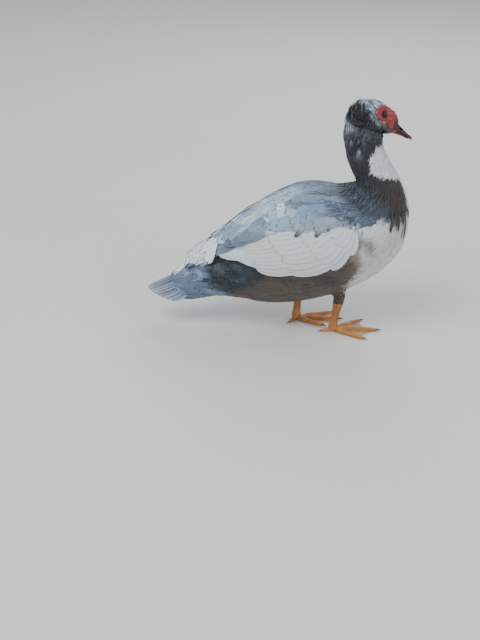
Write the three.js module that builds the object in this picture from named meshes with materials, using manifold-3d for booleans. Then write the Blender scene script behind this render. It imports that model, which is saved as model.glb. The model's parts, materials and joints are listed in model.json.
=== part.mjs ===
// A life-size muscovy duck, standing with its right foot forward and its head turned a little to the left.
// Millimetres, +X towards the breast, +Y to the bird's left, +Z up, soles on z = 0.
import * as THREE from "three";
import { mergeVertices } from "three/addons/utils/BufferGeometryUtils.js";
import Module from "manifold-3d";

const wasm = await Module();
wasm.setup();

// Driving dimensions
const GAP = 0.35; // clearance between two pieces that meet
const BODY_ROWS = 36; // sections from the head to the end of the tail coverts
const BODY_SIDES = 24; // points round each section
const BLOCK = 900; // edge of the blocks that part the body
const WING_SHINGLE = 1.4; // how far a wing feather leans over the next one down
const WING_LAYER = 8; // thickness of the folded wing where it is deepest
const WING_CORE_DEPTH = 1.6; // how far the wing's flesh lies under its feathers
const EYE_RADIUS = 6.4;
const TAIL_FEATHERS = 14;
const TAIL_LENGTH = 98; // middle tail feathers, from the root inside the coverts
const TAIL_WIDTH = 24;
const SHANK_RADIUS = 6.2;
const WEB_THICKNESS = 1.6;
const THIGH_FOOT = 44; // height at which the feathered thigh ends on the shank
const CLAW_LENGTH = 8;
const ANKLE = 13; // height at which the foot ends on the shank

// Sections of the body from the top of the neck to the tail coverts:
// x and z on the back line, x and z on the breast and belly line, half width.
const BODY = [
  [48, 381, 92, 356, 18],
  [37, 347, 98, 332, 25],
  [39, 323, 105, 315, 27],
  [43.5, 301, 116, 296, 30],
  [53, 279, 130, 273, 35],
  [60, 263, 142, 248, 45],
  [46, 255, 149.5, 221, 57],
  [26, 254, 149, 182, 70],
  [2, 254, 138, 146, 80],
  [-22, 252, 113, 115, 85],
  [-48, 246, 76, 88, 87],
  [-74, 233, 28, 66, 85],
  [-101, 216, -30, 50, 78],
  [-128, 195, -84, 45, 67],
  [-156, 170, -130, 51, 54],
  [-184, 147, -168, 53, 45],
  [-210, 131, -198, 47, 37],
  [-232, 110, -224, 42, 30],
  [-251, 91, -245, 49, 20],
  [-263, 80, -260, 60, 9],
];

// Where the body is parted, as the number of a section above.
const NECK_TOP = 1.15;
const NECK_FOOT = 5.35;
const TAIL_ROOT = 14.9;

// The head's own frame: forward along the bill, left, and up over the crown.
const HEAD_AT = new THREE.Vector3(79, 0, 375);
const HEAD_YAW = 25;
const HEAD_PITCH = 30;

// Sections of the head along its forward axis: distance forward, crown, throat, half width.
const HEAD = [
  [-32, 3, -12, 6],
  [-28, 10.5, -18, 14],
  [-19.5, 18.5, -24, 19.5],
  [-9, 24.5, -26, 22],
  [3, 27.5, -26, 22.5],
  [14, 26.8, -24.5, 21],
  [24, 24.5, -21, 18.5],
  [33, 22, -17, 16],
  [42, 19, -13.5, 14],
  [50, 16, -11.5, 12.8],
  [58, 12, -10, 12],
];
const FACE_AT = 46.5; // where the bill's base meets the face, on the forward axis
const FACE_LEAN = 19; // degrees that the face overhangs the bill

// Sections of the upper bill: distance forward, culmen, cutting edge, half width.
const BILL = [
  [38, 11, -3, 11.6],
  [48, 10.2, -2.6, 11.2],
  [57, 7.8, -2, 10.5],
  [66, 5.2, -1.8, 10.5],
  [75, 3, -2.6, 11],
  [82, 1.4, -3.6, 9.4],
  [86.5, -0.8, -5.2, 5.4],
  [89, -3.4, -6.6, 2.2],
];
const LOWER_BILL_DEPTH = 7.5;
const LOWER_BILL_END = 82;

const NOSTRIL_AT = new THREE.Vector3(57, 0, 4); // in the head's frame
const NOSTRIL_SIZE = new THREE.Vector3(3.4, 30, 1.4); // half sizes of the hole through the bill

const radians = THREE.MathUtils.degToRad;
const mix = THREE.MathUtils.lerp;
const vector = (x, y, z) => new THREE.Vector3(x, y, z);

// A Catmull-Rom value between the rows of a table, at a row number that need not be whole.
function between(table, row, column) {
  const last = table.length - 1;
  const i = Math.min(Math.max(Math.floor(row), 0), last - 1);
  const t = row - i;
  const at = (k) => table[Math.min(Math.max(k, 0), last)][column];
  const [a, b, c, d] = [at(i - 1), at(i), at(i + 1), at(i + 2)];
  const bend = 2 * a - 5 * b + 4 * c - d;
  const twist = 3 * b - a - 3 * c + d;
  return 0.5 * (2 * b + (c - a) * t + bend * t * t + twist * t ** 3);
}

// Solids
function geometryOf(points, triangles) {
  const geometry = new THREE.BufferGeometry().setFromPoints(points);
  return geometry.setIndex(triangles);
}

// A geometry as a solid, turned the right way out if its faces wind inwards.
function solidOf(geometry, tolerance = 1e-4) {
  const bare = geometry.index ? geometry.toNonIndexed() : geometry.clone();
  for (const name of ["normal", "uv"]) bare.deleteAttribute(name);
  const merged = mergeVertices(bare, tolerance);
  const vertProperties = merged.attributes.position.array;
  const triVerts = new Uint32Array(merged.index.array);
  const solid = new wasm.Manifold(new wasm.Mesh({ numProp: 3, vertProperties, triVerts }));
  if (solid.volume() > 0) return solid;
  return new wasm.Manifold(new wasm.Mesh({ numProp: 3, vertProperties, triVerts: triVerts.reverse() }));
}

// A closed skin over rings of equally many points, with a fan over each end.
function loft(rings) {
  const sides = rings[0].length;
  const points = rings.flat();
  const triangles = [];
  for (let r = 0; r < rings.length - 1; r += 1) {
    for (let i = 0; i < sides; i += 1) {
      const [a, b] = [r * sides + i, r * sides + ((i + 1) % sides)];
      triangles.push(a, b, b + sides, a, b + sides, a + sides);
    }
  }
  for (const [end, flip] of [[0, true], [rings.length - 1, false]]) {
    const centre = points.length;
    points.push(rings[end].reduce((sum, p) => sum.add(p), vector(0, 0, 0)).divideScalar(sides));
    for (let i = 0; i < sides; i += 1) {
      const edge = [end * sides + i, end * sides + ((i + 1) % sides)];
      triangles.push(...(flip ? edge.reverse() : edge), centre);
    }
  }
  return solidOf(geometryOf(points, triangles));
}

// A thin closed body between two grids of points, split alike on both faces.
function slab(outer, inner) {
  const [rows, columns] = [outer.length, outer[0].length];
  const points = [...outer.flat(), ...inner.flat()];
  const under = rows * columns;
  const triangles = [];
  for (let r = 0; r < rows - 1; r += 1) {
    for (let c = 0; c < columns - 1; c += 1) {
      const [p, q] = [r * columns + c, r * columns + c + 1];
      const [s, t] = [q + columns, p + columns];
      triangles.push(p, q, s, p, s, t);
      triangles.push(s + under, q + under, p + under, t + under, s + under, p + under);
    }
  }
  const rim = [];
  for (let c = 0; c < columns - 1; c += 1) rim.push(c);
  for (let r = 0; r < rows - 1; r += 1) rim.push(r * columns + columns - 1);
  for (let c = columns - 1; c > 0; c -= 1) rim.push((rows - 1) * columns + c);
  for (let r = rows - 1; r > 0; r -= 1) rim.push(r * columns);
  for (const [i, p] of rim.entries()) {
    const q = rim[(i + 1) % rim.length];
    triangles.push(q, p, p + under, q, p + under, q + under);
  }
  return solidOf(geometryOf(points, triangles));
}

// A feather's vane along a line on a surface. The spine gives a point and the outward normal at a share
// of the length; root and tip are heights of the outer face there, and tilt lifts one edge over the next.
const VANE_ROWS = [0, 0.42, 0.82, 1];
const VANE_WIDTHS = [0.6, 0.95, 0.95, 0.4];
const VANE_ROOT = 1.6; // how much thicker a vane is at its root than at its tip

function vane(spine, width, { root, tip, tilt = 0, bend = 75, thick = 1 }) {
  const face = (depth) =>
    VANE_ROWS.map((t, r) => {
      const [point, normal] = spine(t);
      const along = spine(t + 0.02)[0].sub(spine(t - 0.02)[0]).normalize();
      const across = normal.clone().cross(along).normalize();
      const half = 0.5 * width * VANE_WIDTHS[r];
      const height = mix(root, tip, t) - depth * thick * mix(VANE_ROOT, 1, t);
      return [-1, 0, 1].map((edge) => {
        const lift = height + edge * tilt - (Math.abs(edge) * half * half) / (2 * bend);
        return point.clone().addScaledVector(across, edge * half).addScaledVector(normal, lift);
      });
    });
  return slab(face(0), face(1));
}

const placed = (geometry, matrix) => solidOf(geometry.clone().applyMatrix4(matrix));
const joined = (solids) => solids.reduce((all, one) => all.add(one));

const largest = (solid) => solid.decompose().sort((a, b) => b.volume() - a.volume())[0];

// One closed body: points closer than a micron are joined, and loose scraps and sealed hollows go.
function oneBody(solid) {
  const mesh = largest(solid).getMesh();
  const geometry = new THREE.BufferGeometry();
  geometry.setAttribute("position", new THREE.BufferAttribute(mesh.vertProperties, 3));
  geometry.setIndex(new THREE.BufferAttribute(mesh.triVerts, 1));
  return largest(solidOf(geometry, 1e-3)).getMesh();
}

// The side of a plane that its normal points to, as a block to intersect with.
function beyond(point, normal, gap = GAP / 2) {
  const turn = new THREE.Quaternion().setFromUnitVectors(vector(0, 0, 1), normal);
  const centre = point.clone().addScaledVector(normal, BLOCK / 2 + gap);
  return placed(
    new THREE.BoxGeometry(BLOCK, BLOCK, BLOCK),
    new THREE.Matrix4().compose(centre, turn, vector(1, 1, 1)),
  );
}

// The body's surface: row is a section number, angle runs from the back line down the left side.
function bodyPoint(row, angle) {
  const [backX, backZ, frontX, frontZ, width] = [0, 1, 2, 3, 4].map((c) => between(BODY, row, c));
  const along = (1 - Math.cos(angle)) / 2;
  return vector(mix(backX, frontX, along), width * Math.sin(angle), mix(backZ, frontZ, along));
}

function bodyNormal(row, angle) {
  const step = 0.02;
  const down = bodyPoint(row + step, angle).sub(bodyPoint(row - step, angle));
  const round = bodyPoint(row, angle + step).sub(bodyPoint(row, angle - step));
  return down.cross(round).negate().normalize();
}

function offBody(row, angle, height) {
  return bodyPoint(row, angle).addScaledVector(bodyNormal(row, angle), height);
}

function ring(count, pointAt) {
  return Array.from({ length: count }, (_, i) => pointAt((2 * Math.PI * i) / count));
}

// The whole body, grown by a height. Its first and last ring stay clear of the table's ends.
function bodyLoft(height) {
  const end = 0.03;
  const last = BODY.length - 1 - end;
  const sections = Array.from({ length: BODY_ROWS + 1 }, (_, i) => {
    const row = Math.min(Math.max(((BODY.length - 1) * i) / BODY_ROWS, end), last);
    return ring(BODY_SIDES, (a) => offBody(row, a, height));
  });
  return loft(sections);
}

// The plane of a body section: a point on it and the direction towards the tail.
function bodyPlane(row) {
  const back = bodyPoint(row, 0);
  const front = bodyPoint(row, Math.PI);
  const normal = vector(0, 1, 0).cross(front.clone().sub(back)).normalize();
  const centre = back.clone().add(front).multiplyScalar(0.5);
  return { centre, normal };
}

// Head
const headTurn = new THREE.Quaternion()
  .setFromAxisAngle(vector(0, 0, 1), radians(HEAD_YAW))
  .multiply(new THREE.Quaternion().setFromAxisAngle(vector(0, 1, 0), radians(HEAD_PITCH)));
const headMatrix = new THREE.Matrix4().compose(HEAD_AT, headTurn, vector(1, 1, 1));
const inHead = (forward, left, up) => vector(forward, left, up).applyMatrix4(headMatrix);

// A point on the head: angle runs from the crown down the left side.
function headPoint(forward, angle) {
  let row = 0;
  while (row < HEAD.length - 2 && HEAD[row + 1][0] < forward) row += 1;
  row += (forward - HEAD[row][0]) / (HEAD[row + 1][0] - HEAD[row][0]);
  const up = Math.cos(angle) > 0 ? between(HEAD, row, 1) : -between(HEAD, row, 2);
  return [forward, between(HEAD, row, 3) * Math.sin(angle), up * Math.cos(angle)];
}

const EYE_FORWARD = 9.5;
const EYE_ANGLE = 65; // degrees down from the crown
const EYE_DEPTH = 4.6; // how far the eyeball's centre lies inside the face
const LID_RING = 5.3; // middle line of the ring of lid round the eye
const LID_RADIUS = 1.5;

function eyeCentre(side) {
  const [forward, left, up] = headPoint(EYE_FORWARD, radians(side * EYE_ANGLE));
  return inHead(forward, left - side * EYE_DEPTH, up);
}

// A flat ring of lid round the eye.
function eyeLid(side) {
  const [forward, left, up] = headPoint(EYE_FORWARD, radians(side * EYE_ANGLE));
  const lid = new THREE.TorusGeometry(LID_RING, LID_RADIUS, 4, 11);
  const outward = vector(0.12, side, 0.22).normalize();
  const turn = new THREE.Quaternion().setFromUnitVectors(vector(0, 0, 1), outward);
  const place = vector(forward, left - side * 0.6, up);
  const local = new THREE.Matrix4().compose(place, turn, vector(1.08, 0.9, 1));
  return placed(lid, headMatrix.clone().multiply(local));
}

// Bare-skin bulbs: a ring round the eye, then single ones towards and across the base of the bill,
// as distance forward, degrees from the crown and radius.
const EYE_BULBS = 5;
const FACE_BULBS = [
  [48.2, 10, 4],
  [47.8, 36, 3.5],
  [47, 64, 3],
  [45.8, 94, 2.5],
  [36, 48, 2.6],
  [33, 82, 2.4],
];

function caruncles(side) {
  const bulbs = [];
  const bulb = (forward, degrees, radius) => {
    const [f, left, up] = headPoint(forward, radians(side * degrees));
    const place = inHead(f, left * 0.97, up * 0.97);
    bulbs.push(placed(new THREE.IcosahedronGeometry(radius), new THREE.Matrix4().setPosition(place)));
  };
  for (let i = 0; i < EYE_BULBS; i += 1) {
    const turn = (2 * Math.PI * (i + 0.5)) / EYE_BULBS;
    const [ahead, above] = [Math.cos(turn), Math.sin(turn)];
    bulb(EYE_FORWARD + 10.5 * ahead, EYE_ANGLE + 29 * above, 2.6 + 0.5 * ahead);
  }
  for (const [forward, degrees, radius] of FACE_BULBS) bulb(forward, degrees, radius);
  return bulbs;
}

// Feathers of the crown and nape: distance forward of the roots, degrees from the crown, and length.
const CREST = [
  [4, [-14, 14], 17],
  [-6, [-30, 0, 30], 17],
  [-14, [-46, -16, 16, 46], 16],
];
const CREST_WIDTH = 11;
const CREST_RISE = 2.4; // how far the crest's tips stand off the head

function crest() {
  return CREST.flatMap(([forward, angles, length]) =>
    angles.map((degrees) => {
      const spine = (t) => {
        const turn = radians(degrees * (1 + 0.12 * t));
        const at = (f, a) => inHead(...headPoint(f, a));
        const place = forward - length * t;
        const down = at(place - 0.5, turn).sub(at(place + 0.5, turn));
        const round = at(place, turn + 0.02).sub(at(place, turn - 0.02));
        return [at(place, turn), round.cross(down).normalize()];
      };
      const tilt = 0.5 * Math.sign(degrees);
      return vane(spine, CREST_WIDTH, { root: -1, tip: CREST_RISE, bend: 22, thick: 0.8, tilt });
    }),
  );
}

function headSolid() {
  const rows = Array.from({ length: 13 }, (_, i) => ((HEAD.length - 1) * i) / 12);
  const sections = rows.map((row) => {
    const [forward, crown, throat, width] = [0, 1, 2, 3].map((c) => between(HEAD, row, c));
    return ring(16, (a) =>
      inHead(forward, width * Math.sin(a), (Math.cos(a) > 0 ? crown : -throat) * Math.cos(a)),
    );
  });
  const sockets = [1, -1].map((side) =>
    placed(
      new THREE.SphereGeometry(EYE_RADIUS + GAP, 12, 8),
      new THREE.Matrix4().setPosition(eyeCentre(side)),
    ),
  );
  const lids = [1, -1].map(eyeLid);
  const face = loft(sections).intersect(onFaceSide());
  return joined([face, ...crest(), ...lids, ...caruncles(1), ...caruncles(-1)]).subtract(joined(sockets));
}

// The plane between the face and the bill.
const faceNormal = inHead(1, 0, -Math.tan(radians(FACE_LEAN))).sub(HEAD_AT).normalize();
const onBillSide = () => beyond(inHead(FACE_AT, 0, 0), faceNormal);
const onFaceSide = () => beyond(inHead(FACE_AT, 0, 0), faceNormal.clone().negate());

function upperBill(grow = 0) {
  const rows = Array.from({ length: 15 }, (_, i) => ((BILL.length - 1) * i) / 14);
  const shell = loft(
    rows.map((row) => {
      const [forward, top, edge, width] = [0, 1, 2, 3].map((c) => between(BILL, row, c));
      return ring(16, (a) => {
        const up = Math.cos(a) > 0 ? (top - edge - 1 + grow) * Math.cos(a) : (1 + grow) * Math.cos(a);
        const out = (width + grow) * Math.sign(Math.sin(a)) * Math.abs(Math.sin(a)) ** 0.8;
        return inHead(forward, out, edge + 1 + up);
      });
    }),
  );
  const nostril = new THREE.SphereGeometry(1, 10, 8);
  const through = new THREE.Matrix4().compose(NOSTRIL_AT, new THREE.Quaternion(), NOSTRIL_SIZE);
  return shell.intersect(onBillSide()).subtract(placed(nostril, headMatrix.clone().multiply(through)));
}

function lowerBill() {
  const rows = Array.from({ length: 11 }, (_, i) => i / 10);
  const start = BILL[0][0];
  const shell = loft(
    rows.map((t) => {
      const forward = mix(start, LOWER_BILL_END, t);
      const row = Math.min((forward - start) / 9.3, 5);
      const top = between(BILL, row, 2) - GAP;
      const depth = Math.max(0.4, LOWER_BILL_DEPTH * (1 - 0.8 * t));
      const width = between(BILL, row, 3) * 0.9 * Math.sqrt(1.06 - t ** 5);
      return ring(16, (a) => {
        const up = Math.cos(a);
        return inHead(forward, width * Math.sin(a), top - 1 + (up > 0 ? up : depth * up));
      });
    }),
  );
  return shell.intersect(onBillSide()).subtract(upperBill());
}

const headColour = 0x59626c;
const group = new THREE.Group();

function addNode(name, solid, colour, roughness = 0.75) {
  const mesh = oneBody(solid);
  const geometry = new THREE.BufferGeometry();
  geometry.setAttribute("position", new THREE.BufferAttribute(mesh.vertProperties, 3));
  geometry.setIndex(new THREE.BufferAttribute(mesh.triVerts, 1));
  geometry.computeVertexNormals();
  const material = new THREE.MeshStandardMaterial({ color: colour, roughness, metalness: 0 });
  const node = new THREE.Mesh(geometry, material);
  node.name = name;
  group.add(node);
}

const wholeBody = bodyLoft(0);
const spacedBody = bodyLoft(GAP);
const neckTop = bodyPlane(NECK_TOP);
const neckFoot = bodyPlane(NECK_FOOT);
const tailRoot = bodyPlane(TAIL_ROOT);
const towardsHead = (plane) => beyond(plane.centre, plane.normal.clone().negate());
const towardsTail = (plane) => beyond(plane.centre, plane.normal);

const headAndThroat = headSolid().add(wholeBody.intersect(towardsHead(neckTop)));
const head = headAndThroat.subtract(towardsTail(neckTop)).subtract(upperBill(GAP));
addNode("head", head, headColour);
for (const [side, name] of [[1, "left"], [-1, "right"]]) {
  const eye = new THREE.SphereGeometry(EYE_RADIUS, 12, 8);
  addNode(`eye_${name}`, placed(eye, new THREE.Matrix4().setPosition(eyeCentre(side))), 0x3a2412, 0.15);
}
addNode("bill_upper", upperBill(), 0x8a3f3c, 0.45);
addNode("bill_lower", lowerBill(), 0x7a3a38, 0.45);
addNode("neck", wholeBody.intersect(towardsTail(neckTop)).intersect(towardsHead(neckFoot)), 0x4b4a4a);
addNode("torso", wholeBody.intersect(towardsTail(neckFoot)).intersect(towardsHead(tailRoot)), 0xc9ccca);

// Folded wings: a layer over the flank, from the shoulder to the tips that cross the rump.
// Each row gives the upper and the lower edge of a section in degrees from the back line.
const WING_FRONT = 7.2; // first and last body section that the wing covers
const WING_BACK = 14.8;
const WING_EDGES = [
  [40, 66],
  [24, 88],
  [12, 101],
  [5, 108],
  [3, 112],
  [2.6, 110.5],
  [2.6, 104],
  [2.6, 98],
  [2.6, 88],
  [2.6, 70],
  [2.8, 62],
  [3.2, 51],
];

function wingEdge(row, column) {
  const share = (row - WING_FRONT) / (WING_BACK - WING_FRONT);
  return between(WING_EDGES, (WING_EDGES.length - 1) * share, column);
}

// Angle from the back line at a share of the way down the wing.
const wingAngle = (row, share) => radians(mix(wingEdge(row, 0), wingEdge(row, 1), share));

// How far the wing's outer face stands off the body.
function wingHeight(row, share) {
  const front = Math.min(1, Math.max(0.03, (row - WING_FRONT) / 2.4));
  const edges = Math.min(1, 0.25 + share / 0.3, 0.45 + (1 - share) / 0.35);
  const back = mix(1, 0.6, Math.min(1, Math.max(0, (row - 12) / 3)));
  return WING_LAYER * Math.sqrt(front) * edges * back;
}

function wingCore(side) {
  const rows = 11;
  const columns = 5;
  const grid = (height) =>
    Array.from({ length: rows + 1 }, (_, i) => {
      const row = mix(WING_FRONT, WING_BACK, i / rows);
      return Array.from({ length: columns + 1 }, (__, j) =>
        offBody(row, side * wingAngle(row, j / columns), height(row, j / columns)),
      );
    });
  return slab(grid((row, share) => wingHeight(row, share) - WING_CORE_DEPTH), grid(() => -4));
}

// Tiers of wing feathers from the tips forward. Each row runs down the wing from its first to its last
// feather: how many, the root's and the tip's place as section and share down the wing, and the width.
const WING_FEATHERS = [
  { count: 4, root: [[12.2, 0.62], [11.8, 0.88]], tip: [[15.1, 0.52], [13.8, 0.95]], width: [19, 18] },
  { count: 3, root: [[11.9, 0.16], [11.8, 0.5]], tip: [[14.8, 0.16], [14.4, 0.54]], width: [24, 24] },
  { count: 4, root: [[10.6, 0.52], [10, 0.82]], tip: [[13.3, 0.6], [12, 0.94]], width: [29, 28] },
  { count: 4, root: [[9.1, 0.5], [8.7, 0.8]], tip: [[11.5, 0.52], [10.5, 0.93]], width: [30, 29] },
  { count: 3, root: [[7.9, 0.5], [7.8, 0.74]], tip: [[9.9, 0.5], [9.3, 0.88]], width: [31, 27] },
  { count: 3, root: [[10.4, 0.1], [10.3, 0.4]], tip: [[12.9, 0.1], [12.6, 0.42]], width: [30, 28] },
  { count: 3, root: [[9, 0.09], [8.9, 0.38]], tip: [[11.4, 0.09], [11.1, 0.4]], width: [32, 30] },
  { count: 2, root: [[7.7, 0.12], [7.7, 0.36]], tip: [[9.9, 0.12], [9.7, 0.4]], width: [38, 36] },
];

function wingFeather(side, root, tip, width) {
  const spine = (t) => {
    const [row, share] = [mix(root[0], tip[0], t), mix(root[1], tip[1], t)];
    const angle = side * wingAngle(Math.min(row, WING_BACK + 0.4), share);
    return [offBody(row, angle, wingHeight(row, share)), bodyNormal(row, angle)];
  };
  return vane(spine, width, { root: -2.6, tip: 2.2, tilt: -side * WING_SHINGLE, bend: 120 });
}

function wingFeathers(side) {
  return WING_FEATHERS.flatMap(({ count, root, tip, width }) =>
    Array.from({ length: count }, (_, i) => {
      const down = i / (count - 1);
      const place = (ends) => [0, 1].map((axis) => mix(ends[0][axis], ends[1][axis], down));
      return wingFeather(side, place(root), place(tip), mix(width[0], width[1], down));
    }),
  );
}

for (const [side, name] of [[1, "left"], [-1, "right"]]) {
  const ownSide = beyond(vector(0, 0, 0), vector(0, side, 0));
  const wing = joined([wingCore(side), ...wingFeathers(side)]).intersect(ownSide).subtract(spacedBody);
  addNode(`wing_${name}`, wing, 0xa9b4c0);
}

// Tail: the coverts' round root and the arched fan of flight feathers. Each pair of values is at the
// feathers' roots and at their tips.
const TAIL_AT = vector(-196, 0, 110);
const TAIL_DROP = 25; // degrees below level
const TAIL_SPREAD = [14, 38]; // half width of the fan
const TAIL_ROOF = [16, 31]; // how much lower the outermost feathers hang
const TAIL_LEAN = 48; // degrees that the outermost feathers are turned outwards
const TAIL_GRADE = 0.45; // how much shorter the outermost feathers are, as a share
const TAIL_STEP = 0.6; // how far each feather lies under the next one in

function tailFeather(place, lift) {
  const length = TAIL_LENGTH * (1 - TAIL_GRADE * place * place);
  const fall = Math.tan(radians(TAIL_DROP)) * length;
  const lean = radians(TAIL_LEAN * place);
  const normal = vector(0, Math.sin(lean), Math.cos(lean));
  const spine = (t) => {
    const reach = (t * length) / TAIL_LENGTH;
    const left = place * mix(...TAIL_SPREAD, reach);
    const up = lift - fall * t - place * place * mix(...TAIL_ROOF, t);
    return [TAIL_AT.clone().add(vector(-length * t, left, up)), normal];
  };
  return vane(spine, TAIL_WIDTH, { root: 0, tip: 0, tilt: 1.1 * Math.sign(place), thick: 1.3 });
}

function tailFan() {
  const half = (TAIL_FEATHERS - 1) / 2;
  return Array.from({ length: TAIL_FEATHERS }, (_, i) => {
    const place = (i - half) / half;
    return tailFeather(place, -TAIL_STEP * Math.abs(i - half));
  });
}

const coverts = wholeBody.intersect(towardsTail(tailRoot));
const tail = joined([coverts, ...tailFan()]).subtract(towardsHead(tailRoot));
addNode("tail", tail, 0x8b99a8);

// Legs: toes as length, degrees turned outwards from straight ahead, radius, and height of the tip.
const LEGS = {
  left: {
    side: 1,
    foot: vector(-36, 22, 9),
    hock: vector(-32, 31, 62),
    knee: vector(-22, 40, 104),
    toes: {
      inner: [54, -30, 4.4, 3],
      middle: [75, 2, 4.9, 3],
      outer: [69, 26, 4.5, 3],
      hind: [19, -125, 3.7, 1.7],
    },
  },
  right: {
    side: -1,
    foot: vector(29, -22, 9),
    hock: vector(38, -30, 62),
    knee: vector(42, -42, 112),
    toes: {
      inner: [64, -42, 4.4, 3],
      middle: [76, -3, 4.9, 3],
      outer: [62, 32, 4.5, 3],
      hind: [19, 165, 3.7, 1.7],
    },
  },
};

// A limb between two points, with a radius for each of its sections and an optional flattening across it.
function limb(from, to, radii, sides = 11, wide = 1) {
  const along = to.clone().sub(from).normalize();
  const across = vector(0, 1, 0).cross(along).normalize();
  const other = along.clone().cross(across);
  return loft(
    radii.map((radius, i) => {
      const centre = from.clone().lerp(to, i / (radii.length - 1));
      return ring(sides, (a) => {
        const point = centre.clone().addScaledVector(across, radius * wide * Math.cos(a));
        return point.addScaledVector(other, radius * Math.sin(a));
      });
    }),
  );
}

function toeDirection(leg, [, degrees]) {
  const heading = radians(leg.side * degrees);
  return vector(Math.cos(heading), Math.sin(heading), 0);
}

const KNUCKLES = [1.1, 0.9, 1.08, 0.86, 0.92, 0.55];
const TOE_RISE = 4.4; // height of a toe's middle line at its root
const BALL_RADIUS = 7.2; // the ball of the foot, where the toes meet
const BALL_HEIGHT = 6;

function toeSolid(leg, toe) {
  const [length, , radius, tip] = toe;
  const start = vector(leg.foot.x, leg.foot.y, TOE_RISE);
  const end = start.clone().addScaledVector(toeDirection(leg, toe), length).setZ(tip);
  return limb(start, end, KNUCKLES.map((k) => k * radius), 7, 0.9);
}

const WEB_SHORT = 6; // how far the web ends behind the toes' tips
const WEB_HOLLOW = 0.8; // reach of the web's edge between the toes, as a share
const WEB_LIFT = 0.6; // height of the web's underside

function webShape(leg, first, second) {
  const [a, b] = [first, second].map((toe) => toeDirection(leg, toe).multiplyScalar(toe[0] - WEB_SHORT));
  const hollow = a.clone().add(b).multiplyScalar(0.5 * WEB_HOLLOW);
  const { x, y } = leg.foot;
  const shape = new THREE.Shape();
  shape.moveTo(x, y);
  shape.lineTo(x + a.x, y + a.y);
  shape.quadraticCurveTo(x + hollow.x, y + hollow.y, x + b.x, y + b.y);
  const options = { depth: WEB_THICKNESS, bevelEnabled: false, curveSegments: 4 };
  const web = new THREE.ExtrudeGeometry(shape, options);
  return placed(web, new THREE.Matrix4().makeTranslation(0, 0, WEB_LIFT));
}

function footSolid(leg) {
  const { inner, middle, outer } = leg.toes;
  const ball = new THREE.SphereGeometry(BALL_RADIUS, 10, 6);
  const pieces = [placed(ball, new THREE.Matrix4().makeTranslation(leg.foot.x, leg.foot.y, BALL_HEIGHT))];
  pieces.push(...Object.values(leg.toes).map((toe) => toeSolid(leg, toe)));
  pieces.push(webShape(leg, inner, middle), webShape(leg, middle, outer));
  return joined(pieces).intersect(above(0, 0));
}

function clawSolid(leg, toe) {
  const outward = toeDirection(leg, toe);
  const across = vector(-outward.y, outward.x, 0);
  const start = vector(leg.foot.x, leg.foot.y, toe[3]).addScaledVector(outward, toe[0] + GAP);
  const thick = Math.min(2.1, toe[3] - 0.5);
  return loft(
    [0, 0.35, 0.7, 1].map((t) => {
      const centre = start.clone().addScaledVector(outward, CLAW_LENGTH * t);
      centre.z += 1.2 * Math.sin(Math.PI * t) - 0.9 * t;
      const radius = mix(thick, 0.45, t);
      const out = (a) => centre.clone().addScaledVector(across, radius * Math.cos(a));
      return ring(8, (a) => out(a).add(vector(0, 0, radius * Math.sin(a))));
    }),
  );
}

const above = (height, gap = GAP / 2) => beyond(vector(0, 0, height), vector(0, 0, 1), gap);
const SHANK = [1.22, 1, 0.95, 0.96, 1, 1.12, 1.25, 1.2];
const THIGH = [9, 10, 11.4, 12, 14, 17, 19];

for (const [name, leg] of Object.entries(LEGS)) {
  const shank = limb(leg.foot, leg.hock, SHANK.map((share) => share * SHANK_RADIUS));
  const down = leg.foot.clone().sub(leg.hock).normalize().multiplyScalar(18);
  const thigh = limb(leg.hock.clone().add(down), leg.knee, THIGH, 14, 1.1);
  addNode(`thigh_${name}`, thigh.intersect(above(THIGH_FOOT)).subtract(spacedBody), 0x56504d);
  const bareShank = shank.intersect(above(ANKLE)).subtract(above(THIGH_FOOT, -GAP / 2));
  addNode(`shank_${name}`, bareShank, 0xc9812f, 0.55);
  addNode(`foot_${name}`, footSolid(leg).add(shank).subtract(above(ANKLE, -GAP / 2)), 0xd98e3d, 0.6);
  for (const [toe, sizes] of Object.entries(leg.toes)) {
    addNode(`claw_${name}_${toe}`, clawSolid(leg, sizes), 0x6b4a3a, 0.4);
  }
}

// The origin is the middle of the box that holds the bird, on the floor.
const box = new THREE.Box3().setFromObject(group);
for (const node of group.children) {
  node.geometry.translate(-(box.min.x + box.max.x) / 2, -(box.min.y + box.max.y) / 2, -box.min.z);
}

export default group;
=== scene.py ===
import json
import math
from itertools import product

import bpy
import numpy as np
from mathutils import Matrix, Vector
from mathutils.bvhtree import BVHTree
from mathutils.kdtree import KDTree


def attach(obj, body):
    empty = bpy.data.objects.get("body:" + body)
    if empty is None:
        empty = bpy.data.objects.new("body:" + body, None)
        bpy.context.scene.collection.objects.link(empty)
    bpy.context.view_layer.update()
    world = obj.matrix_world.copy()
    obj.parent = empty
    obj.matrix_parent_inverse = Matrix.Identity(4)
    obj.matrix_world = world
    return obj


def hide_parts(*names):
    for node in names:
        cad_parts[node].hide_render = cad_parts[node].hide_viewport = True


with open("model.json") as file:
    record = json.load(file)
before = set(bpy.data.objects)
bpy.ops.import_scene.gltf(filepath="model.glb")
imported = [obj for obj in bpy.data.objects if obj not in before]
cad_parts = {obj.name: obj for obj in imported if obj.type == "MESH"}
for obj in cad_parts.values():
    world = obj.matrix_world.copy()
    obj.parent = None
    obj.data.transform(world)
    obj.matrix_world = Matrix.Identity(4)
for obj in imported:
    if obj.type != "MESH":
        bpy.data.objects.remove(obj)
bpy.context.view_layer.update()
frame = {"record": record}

bl_info = {
    "name": "Muscovy Duck",
    "version": (1, 0, 0),
    "blender": (4, 5, 0),
    "location": "3D View > Sidebar > Duck",
    "description": "Skin, feathers, bill, eyes and feet of a life-size muscovy duck over its packed solids",
    "category": "Object",
}

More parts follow.
